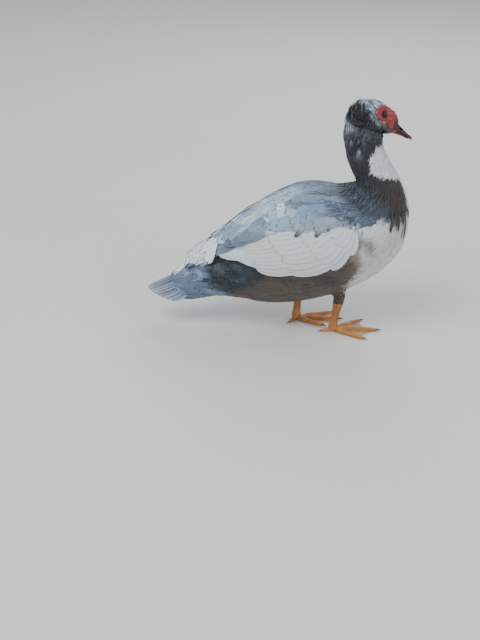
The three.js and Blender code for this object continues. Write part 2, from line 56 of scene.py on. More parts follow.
# Lengths are design millimetres, with x = 0 between the legs. The frame's own x = 0 is the box's middle.
MM = 0.001
RIGHT_SOLE = (29, -22, 0)
sole = next(m for m in frame["record"]["mounts"] if m["name"] == "right_sole")
SHIFT = np.array(sole["pos_m"]) / MM - RIGHT_SOLE

# Sections from the top of the neck to the tail coverts: x and z on the back line, x and z on the breast
# and belly line, half width.
BODY = np.array([
    [48, 381, 92, 356, 18],
    [37, 347, 98, 332, 25],
    [39, 323, 105, 315, 27],
    [43.5, 301, 116, 296, 30],
    [53, 279, 130, 273, 35],
    [60, 263, 142, 248, 45],
    [46, 255, 149.5, 221, 57],
    [26, 254, 149, 182, 70],
    [2, 254, 138, 146, 80],
    [-22, 252, 113, 115, 85],
    [-48, 246, 76, 88, 87],
    [-74, 233, 28, 66, 85],
    [-101, 216, -30, 50, 78],
    [-128, 195, -84, 45, 67],
    [-156, 170, -130, 51, 54],
    [-184, 147, -168, 53, 45],
    [-210, 131, -198, 47, 37],
    [-232, 110, -224, 42, 30],
    [-251, 91, -245, 49, 20],
    [-263, 80, -260, 60, 9],
], float)

# The head's own frame: forward along the bill, left, and up over the crown.
HEAD_AT = np.array([79.0, 0.0, 375.0])
HEAD_YAW = 25
HEAD_PITCH = 30

# Sections of the head: distance forward, crown, throat, half width.
HEAD = np.array([
    [-32, 3, 12, 6],
    [-28, 10.5, 18, 14],
    [-19.5, 18.5, 24, 19.5],
    [-9, 24.5, 26, 22],
    [3, 27.5, 26, 22.5],
    [14, 26.8, 24.5, 21],
    [24, 24.5, 21, 18.5],
    [33, 22, 17, 16],
    [42, 19, 13.5, 14],
    [50, 16, 11.5, 12.8],
    [58, 12, 10, 12],
], float)

# Sections of the upper bill: distance forward, culmen, cutting edge, half width.
BILL = np.array([
    [38, 11, -3, 11.6],
    [48, 10.2, -2.6, 11.2],
    [57, 7.8, -2, 10.5],
    [66, 5.2, -1.8, 10.5],
    [75, 3, -2.6, 11],
    [82, 1.4, -3.6, 9.4],
    [86.5, -0.8, -5.2, 5.4],
    [89, -3.4, -6.6, 2.2],
], float)
LOWER_BILL_DEPTH = 7.5
LOWER_BILL_END = 82
NOSTRIL = (57, 4)  # forward and up
NOSTRIL_SIZE = (3.6, 1.6)
LAMELLA_PITCH = 1.7
LAMELLAE_FROM = (50, 56)  # forward, where they begin to show and are all there
NAIL_FROM = (79.5, 81.5)
NAIL_HEIGHT = 0.7
BILL_TIP = (82, 89)
BILL_SIDES = 96
UPPER_BILL_RINGS = 90
LOWER_BILL_RINGS = 70

EYE_RADIUS = 6.4
EYE_FORWARD = 9.5
EYE_ANGLE = 65  # degrees down from the crown
EYE_DEPTH = 4.6
EYE_LOOK = (0.14, 0.2)  # how far the eye looks forward and up for each part outwards
EYE_FIT = 0.985  # size in its socket
CORNEA_BULGE = 0.035
PUPIL_EDGE = (0.34, 0.38)  # radians off the eye's axis
IRIS_EDGE = (0.6, 0.75)

# Folded wing: first and last body section, and the upper and lower edge in degrees from the back line.
WING_FRONT = 7.2
WING_BACK = 14.8
WING_LAYER = 8
WING_EDGES = np.array([
    [40, 66],
    [24, 88],
    [12, 101],
    [5, 108],
    [3, 112],
    [2.6, 110.5],
    [2.6, 104],
    [2.6, 98],
    [2.6, 88],
    [2.6, 70],
    [2.8, 62],
    [3.2, 51],
], float)

# Tiers of wing feathers below the cape, from the tips forward: how many, root and tip as section and
# share down the wing for the first and the last feather, their widths, and the height of the outer face
# over the wing's flesh.
WING_TIERS = [
    (7, [[12.3, 0.55], [11.9, 0.86]], [[14.75, 0.74], [14.25, 0.93]], [14, 13], 2.3),
    (11, [[10.6, 0.42], [10.5, 0.87]], [[13.6, 0.50], [12.75, 0.95]], [17, 15], 2.6),
    (11, [[9.2, 0.40], [9.3, 0.86]], [[11.9, 0.44], [11.5, 0.955]], [17, 15], 2.85),
    (11, [[8.4, 0.40], [8.5, 0.84]], [[10.6, 0.42], [10.3, 0.95]], [16, 15], 3.05),
    (10, [[7.8, 0.42], [7.9, 0.80]], [[9.5, 0.42], [9.2, 0.94]], [15, 14], 3.2),
]

WING_ROOT_SUNK = 1.4  # how deep the feathers' roots lie
WING_UNDER_CAPE = 2.6  # how much lower they lie where the cape covers them
WING_OVERLAP = 1.3  # their real width over the one given in the tiers

# Shoulder feathers: the body sections of their first and last roots, the one where tips end, and lengths
# and widths at the front and the rear.
CAPE_ROWS = (6.35, 13.9)
CAPE_TIPS_END = 14.9
CAPE_LENGTH = (30, 62)
CAPE_WIDTH = (12, 21)
CAPE_SHOWN = (0.24, 0.6)  # share of a feather's length and width that the others leave bare

# Tail fan: each pair of values is at the feathers' roots and at their tips.
TAIL_AT = np.array([-196.0, 0.0, 110.0])
TAIL_DROP = 25
TAIL_SPREAD = (14, 38)
TAIL_ROOF = (16, 31)
TAIL_LEAN = 48
TAIL_GRADE = 0.45
TAIL_LENGTH = 98
TAIL_STEP = 0.5
TAIL_FEATHERS = 18
TAIL_WIDTH = 21.0
DARK_TAIL_FEATHERS = [3, 7, 13]  # counted from the right

# Legs: ankle, hock and knee, and each toe's length, degrees turned outwards, radius and height of its tip.
LEGS = {
    "left": {
        "side": 1,
        "foot": (-36, 22, 9),
        "hock": (-32, 31, 62),
        "knee": (-22, 40, 104),
        "toes": {"inner": (54, -30, 4.4, 3), "middle": (75, 2, 4.9, 3), "outer": (69, 26, 4.5, 3),
                 "hind": (19, -125, 3.7, 1.7)},
    },
    "right": {
        "side": -1,
        "foot": (29, -22, 9),
        "hock": (38, -30, 62),
        "knee": (42, -42, 112),
        "toes": {"inner": (64, -42, 4.4, 3), "middle": (76, -3, 4.9, 3), "outer": (62, 32, 4.5, 3),
                 "hind": (19, 165, 3.7, 1.7)},
    },
}
SHANK_RADIUS = 6.2
SHANK = [1.22, 1, 0.95, 0.96, 1, 1.12, 1.25, 1.2]
THIGH = [9, 10, 11.4, 12, 14, 17, 19]
KNUCKLES = [1.1, 0.9, 1.08, 0.86, 0.92, 0.55]
TOE_RISE = 4.4
CLAW_LENGTH = 8
ANKLE_RADIUS = 7.2
ANKLE_HEIGHT = 7
SHANK_SCALE = 1.12  # the skin's shank, before it is fused, over the radii above
TOE_PLATE = 3.2  # length of one cross plate
TOE_PLATE_HEIGHT = 0.3
SHANK_PLATE = 3.6
SHANK_PLATE_HEIGHT = 0.35
CLAW_SUNK = 1.5  # how far a claw starts inside the toe's tip
CLAW_ARCH = 1.3
CLAW_DROP = 1.1
CLAW_ROOT_RADIUS = 2.1
CLAW_TIP_RADIUS = 0.3


# Colours and small helpers
def linear(hex_colour):
    """An sRGB hex colour as linear red, green and blue."""
    parts = [int(hex_colour[i:i + 2], 16) / 255 for i in (1, 3, 5)]
    return tuple(p / 12.92 if p <= 0.04045 else ((p + 0.055) / 1.055) ** 2.4 for p in parts)


def paint(hex_colour):
    return np.array(linear(hex_colour))


def unit(v):
    return v / np.maximum(np.linalg.norm(v, axis=-1, keepdims=True), 1e-9)


def smooth(low, high, value):
    """0 below low, 1 above high, with a soft step between."""
    t = np.clip((value - low) / (high - low), 0, 1)
    return t * t * (3 - 2 * t)


def blend(a, b, share):
    return a + (b - a) * np.asarray(share)[..., None]


def between(table, row):
    """Catmull-Rom values between the rows of a table, at row numbers that need not be whole."""
    row = np.asarray(row, float)
    last = len(table) - 1
    i = np.clip(np.floor(row), 0, last - 1).astype(int)
    t = (row - i)[..., None]
    a, b, c, d = (table[np.clip(i + k, 0, last)] for k in (-1, 0, 1, 2))
    square, cube = 2 * a - 5 * b + 4 * c - d, 3 * b - a - 3 * c + d
    return 0.5 * (2 * b + (c - a) * t + square * t ** 2 + cube * t ** 3)


def grain(points, size, seed=0):
    """Smooth random values from -1 to 1 that change over a distance in millimetres."""
    p = np.asarray(points, float) / size + seed * 17.3
    cell = np.floor(p).astype(np.int64)
    f = p - cell
    f = f * f * (3 - 2 * f)
    total = 0
    for corner in product((0, 1), repeat=3):
        c = cell + np.array(corner)
        h = (c[..., 0] * 73856093) ^ (c[..., 1] * 19349663) ^ (c[..., 2] * 83492791) ^ (seed * 2654435)
        h = ((h ^ (h >> 13)) * 1274126177) & 0x7FFFFFFF
        weight = np.prod(np.where(corner, f, 1 - f), axis=-1)
        total = total + weight * (h / 0x3FFFFFFF - 1)
    return total


# Surfaces
def body_point(row, angle):
    """A place on the body's outer form, at a section and radians round it from the back line."""
    back_x, back_z, front_x, front_z, width = np.moveaxis(between(BODY, row), -1, 0)
    along = (1 - np.cos(angle)) / 2
    x = back_x + (front_x - back_x) * along
    z = back_z + (front_z - back_z) * along
    return np.stack([x, width * np.sin(angle), z], -1)


def body_normal(row, angle):
    step = 0.02
    down = body_point(row + step, angle) - body_point(row - step, angle)
    round_it = body_point(row, angle + step) - body_point(row, angle - step)
    return -unit(np.cross(down, round_it))


def off_body(row, angle, height):
    return body_point(row, angle) + body_normal(row, angle) * np.asarray(height)[..., None]


def wing_edges(row):
    """Upper and lower edge of the folded wing at a section, in degrees from the back line."""
    rows = (len(WING_EDGES) - 1) * (np.asarray(row) - WING_FRONT) / (WING_BACK - WING_FRONT)
    return np.moveaxis(between(WING_EDGES, np.clip(rows, 0, len(WING_EDGES) - 1)), -1, 0)


def wing_share(row, degrees):
    """How far down the folded wing a place lies: 0 at its upper edge and 1 at the lower one."""
    upper, lower = wing_edges(row)
    return (degrees - upper) / (lower - upper)


def wing_rise(row, share):
    """How far the folded wing's outer face stands off the body."""
    front = np.clip((row - WING_FRONT) / 2.4, 0.03, 1)
    edges = np.minimum(1, np.minimum(0.25 + share / 0.3, 0.45 + (1 - share) / 0.35))
    back = 1 - 0.4 * np.clip((row - 12) / 3, 0, 1)
    return WING_LAYER * np.sqrt(front) * edges * back


def head_turn():
    """The head's own directions as the columns of a rotation."""
    yaw, pitch = math.radians(HEAD_YAW), math.radians(HEAD_PITCH)
    about_z = np.array([[math.cos(yaw), -math.sin(yaw), 0], [math.sin(yaw), math.cos(yaw), 0], [0, 0, 1]])
    about_y = np.array([[math.cos(pitch), 0, math.sin(pitch)], [0, 1, 0],
                        [-math.sin(pitch), 0, math.cos(pitch)]])
    return about_z @ about_y


HEAD_TURN = head_turn()


def in_head(forward, left, up):
    local = np.stack(np.broadcast_arrays(forward, left, up), -1)
    return local @ HEAD_TURN.T + HEAD_AT


def to_head(points):
    return (np.asarray(points) - HEAD_AT) @ HEAD_TURN


def head_section(forward):
    """Crown, throat and half width of the head at a distance forward."""
    starts = HEAD[:, 0]
    i = np.clip(np.searchsorted(starts, forward, side="right") - 1, 0, len(HEAD) - 2)
    row = i + (forward - starts[i]) / (starts[i + 1] - starts[i])
    return np.moveaxis(between(HEAD, np.clip(row, 0, len(HEAD) - 1)), -1, 0)[1:]


def head_point(forward, angle, height=0):
    """A place over the head's outer form, at a distance forward and radians from the crown."""
    crown, throat, width = head_section(forward)
    up = np.where(np.cos(angle) > 0, crown, throat) * np.cos(angle)
    left = width * np.sin(angle)
    reach = 1 + height / np.maximum(np.hypot(up, left), 4)
    return in_head(forward, left * reach, up * reach)


def eye_centre(side):
    crown, _, width = head_section(EYE_FORWARD)
    angle = side * math.radians(EYE_ANGLE)
    return in_head(EYE_FORWARD, width * math.sin(angle) - side * EYE_DEPTH, crown * math.cos(angle))


# Meshes
def new_object(name, points, faces, uv=None, tint=None, flat=False):
    """A mesh object from millimetre points and faces that all have equally many corners."""
    points = np.asarray(points, float).reshape(-1, 3)
    faces = np.asarray(faces, np.int32)
    mesh = bpy.data.meshes.new(name)
    mesh.vertices.add(len(points))
    mesh.vertices.foreach_set("co", ((points + SHIFT) * MM).astype(np.float32).ravel())
    mesh.loops.add(faces.size)
    mesh.loops.foreach_set("vertex_index", faces.ravel())
    mesh.polygons.add(len(faces))
    mesh.polygons.foreach_set("loop_start", np.arange(0, faces.size, faces.shape[1], dtype=np.int32))
    mesh.update(calc_edges=True)
    mesh.polygons.foreach_set("use_smooth", np.full(len(faces), not flat))
    for layer_name, values in (uv or {}).items():
        layer = mesh.uv_layers.new(name=layer_name)
        layer.uv.foreach_set("vector", np.asarray(values, np.float32)[faces.ravel()].ravel())
    if tint is not None:
        add_tint(mesh, tint)
    mesh.validate()
    obj = bpy.data.objects.new(name, mesh)
    bpy.context.scene.collection.objects.link(obj)
    return obj


def add_tint(mesh, tint):
    layer = mesh.color_attributes.new(name="tint", type="FLOAT_COLOR", domain="POINT")
    rgba = np.ones((len(mesh.vertices), 4), np.float32)
    rgba[:, :3] = np.clip(tint, 0, 1)
    layer.data.foreach_set("color", rgba.ravel())


def ring_faces(rings, sides, closed=True):
    """Quads over a stack of rings."""
    r, s = np.meshgrid(np.arange(rings - 1), np.arange(sides if closed else sides - 1), indexing="ij")
    a = r * sides + s
    b = r * sides + (s + 1) % sides
    return np.stack([a, b, b + sides, a + sides], -1).reshape(-1, 4)


CAP_SIZES = (0.02, 0.5)  # of the two rings that close an end, as shares of its last one


def loft(rings):
    """Points and quads of a closed skin over rings, its ends drawn in to a small cap of quads."""
    rings = np.asarray(rings, float)
    first = rings[:1].mean(axis=1, keepdims=True)
    last = rings[-1:].mean(axis=1, keepdims=True)
    head = [first + (rings[:1] - first) * s for s in CAP_SIZES]
    tail = [last + (rings[-1:] - last) * s for s in reversed(CAP_SIZES)]
    rings = np.concatenate([*head, rings, *tail])
    return rings.reshape(-1, 3), ring_faces(*rings.shape[:2])


def around(count):
    return np.linspace(0, 2 * np.pi, count, endpoint=False)


def limb(start, end, radii, sides=24, wide=1.0):
    """Rings between two points, with a radius for each section."""
    start, end = np.array(start, float), np.array(end, float)
    along = unit(end - start)
    across = unit(np.cross([0, 1, 0], along))
    other = np.cross(along, across)
    steps = np.linspace(0, 1, 4 * len(radii) - 3)
    r = between(np.array(radii, float)[:, None], steps * (len(radii) - 1))[:, 0]
    centre = start + (end - start) * steps[:, None]
    a = around(sides)
    return (centre[:, None] + r[:, None, None] * (wide * np.cos(a)[None, :, None] * across
            + np.sin(a)[None, :, None] * other))


def joined(meshes):
    """Several point and face pairs as one."""
    points, faces, offset = [], [], 0
    for p, f in meshes:
        points.append(p)
        faces.append(f + offset)
        offset += len(p)
    return np.concatenate(points), np.concatenate(faces)


def fused(name, meshes, voxel, relax):
    """One seamless skin over overlapping closed meshes."""
    obj = new_object(name, *joined(meshes))
    remesh = obj.modifiers.new("fuse", "REMESH")
    remesh.mode = "VOXEL"
    remesh.voxel_size = voxel * MM
    remesh.use_smooth_shade = True
    ease = obj.modifiers.new("ease", "SMOOTH")
    ease.factor = 0.5
    ease.iterations = relax
    apply_modifiers(obj)
    return obj


def apply_modifiers(obj):
    evaluated = obj.evaluated_get(bpy.context.evaluated_depsgraph_get())
    mesh = bpy.data.meshes.new_from_object(evaluated)
    old = obj.data
    obj.modifiers.clear()
    obj.data = mesh
    bpy.data.meshes.remove(old)
    mesh.name = obj.name


def points_of(obj):
    co = np.empty(len(obj.data.vertices) * 3, np.float32)
    obj.data.vertices.foreach_get("co", co)
    return co.reshape(-1, 3).astype(float) / MM - SHIFT


def normals_of(obj):
    co = np.empty(len(obj.data.vertices) * 3, np.float32)
    obj.data.vertices.foreach_get("normal", co)
    return co.reshape(-1, 3).astype(float)


# Markings: the plumage's colours over the whole bird, for the skin and the feathers alike
def hue(name):
    """One of the colours in the settings, as linear red, green and blue."""
    return np.array(getattr(bpy.context.scene.duck_colours, name))


# Borders of the markings. Each row is a place along the body and the degrees from the back line there, or
# for the three that run round the body, degrees from the back line and the section there.
CAPE_EDGE = np.array([
    [4.8, 126], [6.3, 126], [6.5, 118], [6.6, 108], [6.86, 96], [7.38, 85], [8, 79], [8.72, 73], [9.42, 68],
    [9.94, 65], [10.3, 62], [10.57, 55], [11.13, 51], [12.76, 50], [13.76, 48], [14.3, 45], [14.6, 36],
    [14.85, 12], [15, -5],
], float)
THROAT_EDGE = np.array([
    [0, 185], [1.1, 180], [1.25, 140], [1.45, 123], [1.8, 124], [2.05, 112], [2.34, 102], [2.9, 93],
    [3.41, 92], [3.6, 97], [3.75, 106], [3.86, 130], [4.0, 165], [4.1, 185],
], float)
RUMP_EDGE = np.array([
    [14.5, 60], [15.2, 53], [15.46, 49], [16.2, 42], [16.95, 30], [17.2, 5], [17.3, -5],
], float)
BAND_END = np.array([
    [0, 4.9], [38, 4.95], [62, 5.38], [74, 5.45], [92, 5.6], [106, 5.82], [118, 6.1], [126, 6.35], [135, 6.3],
    [148, 6.15], [158, 5.9], [164, 4.3], [180, 4.2],
], float)
BELLY_FRONT = np.array([
    [0, 9.0], [112, 9.1], [123, 9.38], [135, 9.9], [142, 10.16], [160, 10.6], [180, 10.8],
], float)
TAIL_COVERTS_FRONT = np.array([
    [0, 15.2], [56, 15.2], [107, 15.35], [120, 15.1], [130, 14.5], [180, 14.3],
], float)

# The brown-grey smudge that rises from the thigh and hooks over the flank, as places on the right side.
SMUDGE_LINE = np.array([
    [59, -66, 118], [68, -71, 137], [65, -79, 158], [62, -85, 176], [70, -84, 187], [84, -78, 184],
    [89, -73, 172],
], float)


# Spots at the side of the nape: place on the left side, spread in square millimetres, colour and strength.
NAPE_SPOTS = [([46, 12, 360], 150, "#a9bccb", 0.85), ([52, 20, 345], 55, "#1d232c", 0.8)]

# A place on the plane between head and neck plumage, forward and up, and how steeply it falls forwards.
NECK_TOP = (70, 345)
NECK_TOP_SLOPE = 0.35


PLACES_GRID = (190, 144)  # along the body and round it


class BodyPlaces:
    """The section and angle of the body nearest to any point."""

    def __init__(self):
        rows = np.linspace(0.1, len(BODY) - 1.1, PLACES_GRID[0])
        angles = np.radians(np.linspace(-180, 177.5, PLACES_GRID[1]))
        self.row, self.angle = (g.ravel() for g in np.meshgrid(rows, angles, indexing="ij"))
        self.tree = KDTree(len(self.row))
        for i, p in enumerate(body_point(self.row, self.angle)):
            self.tree.insert(p, i)
        self.tree.balance()

    def __call__(self, points):
        i = np.array([self.tree.find(p)[1] for p in points], int)
        return self.row[i], self.angle[i]


places = BodyPlaces()


def on_body(points):
    """Section and degrees from the back line of the body's place nearest to each point."""
    row, angle = places(points)
    return row, np.degrees(np.abs(angle))


def edge(table, at):
    """The second column of a border table where its first one has a value."""
    return np.interp(at, table[:, 0], table[:, 1])


def line_distance(points, start, end):
    """Distance of points from a line, and the share along it of their nearest place."""
    t = np.clip(((points - start) @ (end - start)) / ((end - start) @ (end - start)), 0, 1)
    return np.linalg.norm(points - start - (end - start) * t[:, None], axis=1), t


# The grey-brown patch below the eye: forward and up in the head, how far it fades forwards and back, and
# half its height.
CHEEK_AT = (17, -4)
CHEEK_REACH = (40, 11)
CHEEK_HALF = 6.5


def head_markings(points):
    """Pale, mottled crown over charcoal cheeks, with a grey-brown patch below the eye and a painted highlight
    in a pale line below and behind it.
    """
    forward, _, up = to_head(points).T
    streak = grain(points * [1, 1, 0.45], 3.0, 5) + 0.5 * grain(points, 1.6, 8)
    crown = smooth(0, 10, up + 4 * grain(points, 7, 3) + 0.25 * forward + 3)
    pale = blend(paint("#8299ae"), paint("#deedf6"), smooth(-0.4, 0.4, streak))
    pale = blend(pale, hue("charcoal"), smooth(0.15, 0.6, grain(points * [1, 1, 0.5], 4.2, 14)))
    dark = blend(hue("charcoal"), paint("#4d5457"), smooth(-20, 0, forward))
    dark = blend(dark, paint("#79848c"), 0.5 * smooth(0.1, 0.9, streak))
    colour = blend(dark, pale, crown)
    reach = np.where(forward > CHEEK_AT[0], *CHEEK_REACH)
    cheek = np.exp(-((forward - CHEEK_AT[0]) / reach) ** 2 - ((up - CHEEK_AT[1]) / CHEEK_HALF) ** 2)
    colour = blend(colour, paint("#75716b"), 0.95 * cheek)
    # A painted highlight: a pale line along the side of the head, below and behind the eye.
    highlight_line_up = -0.6 - 0.27 * (forward + 12)
    rim = np.exp(-((up - highlight_line_up) / 1.6) ** 2) * smooth(-16, -12, forward) * smooth(13, 8, forward)
    return blend(colour, paint("#c3c9cc"), 0.75 * rim)


def cape_markings(points, row, degrees):
    """Slate at the shoulders, steel blue in the middle, powder blue with long streaks at the rear."""
    depth = edge(CAPE_EDGE, row) - degrees
    front = blend(hue("slate"), hue("steel"), smooth(6.6, 8.4, row + 0.5 * grain(points, 22, 2)))
    light = smooth(9.5, 11.3, row + 0.6 * grain(points, 26, 4) + 0.022 * (depth - 22))
    colour = blend(front, hue("powder"), light)
    fine = smooth(-0.3, 0.3, grain(points * [0.35, 1, 0.8], 7, 17))
    colour = blend(colour, blend(hue("steel"), hue("bright"), fine), 0.5 * light)
    middle = smooth(6.8, 7.8, row) * smooth(11.5, 9.5, row)
    streak = grain(points * [0.3, 1, 0.8], 9, 27)
    colour = blend(colour, blend(hue("slate"), hue("powder"), smooth(-0.3, 0.3, streak)), 0.55 * middle)
    top = smooth(48, 22, degrees) * smooth(9.7, 8.5, row + 0.4 * streak)
    colour = blend(colour, hue("slate"), 0.6 * top)
    low = smooth(17, 5, depth + 5 * grain(points, 13, 6))
    colour = blend(colour, hue("mauve"), 0.85 * low * smooth(8.0, 8.6, row) * smooth(10.9, 10.4, row))
    lowest = smooth(15, 3, depth + 4 * grain(points, 9, 16))
    return blend(colour, hue("dusk"), 0.8 * lowest * smooth(11.6, 12.2, row))


def neck_markings(points, row, degrees):
    """Charcoal, mottled on the nape, with the white throat and a brown band at the foot."""
    streak = grain(points * [1, 1, 0.5], 4, 10)
    nape = blend(hue("charcoal"), paint("#8d9aab"), 0.8 * smooth(0.15, 0.8, streak) * smooth(3.2, 1.5, row))
    front = blend(hue("charcoal"), hue("umber"), smooth(2.4, 3.6, row))
    dark = blend(nape, front, smooth(70, 125, degrees + 10 * streak))
    throat = smooth(-3, 3, degrees - edge(THROAT_EDGE, row) + 6 * grain(points, 6, 1))
    front = smooth(162, 170, degrees) * smooth(3.8, 4.1, row)
    white = blend(hue("white"), hue("bright"), 0.3)
    return blend(dark, white, np.maximum(throat, 0.85 * front))


def above_neck(points):
    """Height over the slanting plane where the head's plumage meets the neck's."""
    return points[:, 2] - NECK_TOP[1] + NECK_TOP_SLOPE * (points[:, 0] - NECK_TOP[0])


def rear_markings(colour, points, row, degrees):
    """Brown belly, dark vent, blue-grey tail coverts and white rump. The brown and the vent begin a little
    above the wing's lower edge, where they paint the shadow line under it.
    """
    ragged = grain(points, 9, 1)
    _, lower = wing_edges(row)
    # Belly brown and vent from a little above the wing's lower edge: partly the real dark underside, partly a
    # painted shadow line under the wing's edge.
    below = smooth(-9, -6, degrees - lower + 1.5 * ragged)
    brown = blend(hue("belly"), hue("umber"), smooth(-0.2, 1.1, grain(points * [0.4, 1, 1], 9, 9)))
    colour = blend(colour, brown, below * smooth(-0.1, 0.2, row - edge(BELLY_FRONT, degrees) + 0.12 * ragged))
    start = 12.5 + 0.044 * np.maximum(degrees - 96, 0)
    vent = blend(hue("vent"), paint("#48535c"), smooth(0, 0.8, grain(points * [0.4, 1, 1], 10, 12)))
    colour = blend(colour, vent, below * smooth(-0.35, 0.5, row - start + 0.25 * ragged))
    blue = blend(hue("tail"), hue("ash"), smooth(0, 0.7, grain(points * [0.3, 1, 1], 6, 19)))
    behind = row - edge(TAIL_COVERTS_FRONT, degrees) + 0.12 * ragged
    colour = blend(colour, blue, smooth(-0.2, 0.2, behind))
    white = smooth(-3, 3, edge(RUMP_EDGE, row) - degrees + 5 * ragged) * smooth(14.7, 14.9, row)
    return blend(colour, hue("bright"), white)


def markings(points):
    """Linear colours of the plumage at points of the body."""
    points = np.asarray(points, float)
    row, degrees = on_body(points)
    ragged = grain(points, 9, 1)
    colour = blend(hue("white"), paint("#bcbcb8"), smooth(0.1, 0.9, grain(points, 30, 20)))
    colour = rear_markings(colour, points, row, degrees)
    right = points * [1, -1, 1]
    right = np.where(points[:, 1:2] > 0, right, points)
    gaps = [line_distance(right, a, b)[0] for a, b in zip(SMUDGE_LINE[:-1], SMUDGE_LINE[1:])]
    gap = np.min(gaps, axis=0)
    colour = blend(colour, hue("smudge"), 0.75 * smooth(14, 3, gap + 2 * ragged) * smooth(9.9, 9.4, row))
    cape = smooth(-2, 2, edge(CAPE_EDGE, row) + 3 * ragged - degrees)
    cape = cape * smooth(-0.35, -0.15, row - edge(BAND_END, degrees)) * smooth(15, 14.8, row)
    colour = blend(colour, cape_markings(points, row, degrees), cape)
    neck = smooth(0.08, -0.08, row + 0.1 * ragged - edge(BAND_END, degrees))
    colour = blend(colour, neck_markings(points, row, degrees), neck)
    colour = blend(colour, head_markings(points), smooth(-8, 8, above_neck(points)))
    left = right * [1, -1, 1]
    for place, spread, shade, strength in NAPE_SPOTS:
        near = np.exp(-((left - place) ** 2).sum(-1) / spread)
        colour = blend(colour, paint(shade), strength * near)
    return colour


# Lie of the plumage
GUIDE_STEP = 0.5  # body sections between the places that guide the feathers
GUIDES_IN_HEAD = (30, 18, 6, -6)  # millimetres forward in the head


def lie_guides():
    """Points inside the bird, each with the direction in which the feathers round it lie."""
    rows = np.arange(0.6, 18.6, GUIDE_STEP)
    front, back = body_point(rows, np.pi), body_point(rows, 0)
    along = -unit(np.cross(back - front, [0.0, 1.0, 0.0]))
    centres = [(front + back) / 2]
    ways = [along]
    for forward in GUIDES_IN_HEAD:
        turn = np.clip((forward + 22) / 40, 0, 1)
        way = -HEAD_TURN[:, 0] * turn + along[0] * (1 - turn)
        centres.append(in_head(forward, 0, 2)[None])
        ways.append(unit(way)[None])
    return np.concatenate(centres), np.concatenate(ways)


GUIDE_AT, GUIDE_WAY = lie_guides()


def lie(points, normals):
    """The way the feathers lie at points of the skin, along its surface."""
    d2 = ((points[:, None] - GUIDE_AT) ** 2).sum(-1)
    weight = 1 / (d2 + 40) ** 2
    way = (weight[..., None] * GUIDE_WAY).sum(1)
    way = way - normals * (way * normals).sum(-1, keepdims=True)
    return unit(way)


# Feathers
class Template:
    """A lens of top and under faces that share their rim, as places along and across a feather."""

    def __init__(self, along, widths, across):
        rows, columns = len(along), len(across)
        self.t = np.array(along, float)
        self.w = np.array(widths, float)
        u = np.array(across, float)
        top = np.arange(rows * columns).reshape(rows, columns)
        inner = np.arange((rows - 2) * (columns - 2)).reshape(rows - 2, columns - 2) + rows * columns
        under = top.copy()
        under[1:-1, 1:-1] = inner
        self.row = np.concatenate([np.repeat(np.arange(rows), columns),
                                   np.repeat(np.arange(1, rows - 1), columns - 2)])
        self.u = np.concatenate([np.tile(u, rows), np.tile(u[1:-1], rows - 2)])
        self.below = np.arange(len(self.row)) >= rows * columns
        self.faces = np.concatenate([self.quads(top)[:, ::-1], self.quads(under)])

    @staticmethod
    def quads(grid):
        corners = [grid[:-1, :-1], grid[:-1, 1:], grid[1:, 1:], grid[1:, :-1]]
        return np.stack(corners, -1).reshape(-1, 4)


SMALL = Template([0, 0.3, 0.62, 0.88, 1], [0.45, 0.9, 1, 0.72, 0.28], [-1, 0, 1])
SLEEK = Template([0, 0.3, 0.6, 0.93, 1], [0.45, 0.9, 1, 0.64, 0.28], [-1, -0.9, 0, 0.9, 1])
BROAD = Template([0, 0.2, 0.42, 0.62, 0.8, 0.93, 1], [0.4, 0.8, 0.96, 1, 0.86, 0.55, 0.2],
                 [-1, -0.88, 0, 0.88, 1])
LONG = Template([0, 0.12, 0.28, 0.46, 0.64, 0.79, 0.9, 0.97, 1],
                [0.35, 0.7, 0.9, 0.98, 1, 0.93, 0.74, 0.44, 0.15], [-1, -0.95, -0.5, 0, 0.5, 0.95, 1])


def feathers(name, template, spine, normal, width, lift, colour, uv_root, thick=0.35, cup=60, tilt=0.0,
             ragged=0.06, vary=0.03, seed=1):
    """One mesh of many feathers. spine and normal are places and directions at the template's rows, lift is
    the height of each row over the spine, colour is given at the root and the tip, thick is the blade's
    thickness, cup the radius that it is rolled to, tilt how much higher its left edge is, ragged how uneven
    its edges are, and vary how much the feathers differ in shade."""
    rng = np.random.default_rng(seed)
    count = len(spine)
    along = np.gradient(spine, axis=1)
    across = unit(np.cross(normal, along))
    row, u = template.row, template.u
    half = 0.5 * np.broadcast_to(width, (count,))[:, None] * template.w[row][None]
    side = u[None] * half * (1 + ragged * rng.standard_normal((count, len(row))))
    lift = np.broadcast_to(np.asarray(lift, float), (count, len(template.t)))
    drop = side ** 2 / (2 * cup) + thick * template.below[None]
    tilt = np.broadcast_to(np.asarray(tilt, float), (count,))[:, None]
    height = lift[:, row] - drop + u[None] * tilt
    points = spine[:, row] + across[:, row] * side[..., None] + normal[:, row] * height[..., None]
    slide = ragged * rng.standard_normal((count, len(row))) * (template.t[row][None] > 0.8)
    points += along[:, row] * slide[..., None]
    v = template.t[row]
    tint = colour[0][:, None] + (colour[1] - colour[0])[:, None] * smooth(0.35, 1, v)[None, :, None]
    tint = tint * np.exp(vary * rng.standard_normal(count))[:, None, None]
    faces = template.faces[None] + (np.arange(count) * len(row))[:, None, None]
    vane = np.broadcast_to(np.stack([0.5 + 0.5 * u, v], -1), (count, len(row), 2))
    patch = uv_root[:, None] + 0.0015 * np.stack([u, 2 * v - 1], -1)[None]
    return new_object(name, points, faces.reshape(-1, 4),
                      {"OFBake": patch.reshape(-1, 2), "Vane": vane.reshape(-1, 2)}, tint.reshape(-1, 3))


def stretched(roots, tips, template):
    """Places along feathers at a template's rows, from their roots to their tips."""
    return roots[:, None] + (tips - roots)[:, None] * template.t[None, :, None]


made = {}  # the finished skin, under "skin", which the coats need
NEIGHBOURS = list(product((-1, 0, 1), repeat=3))
TRIES = 4.5  # places tried for each one that would fit


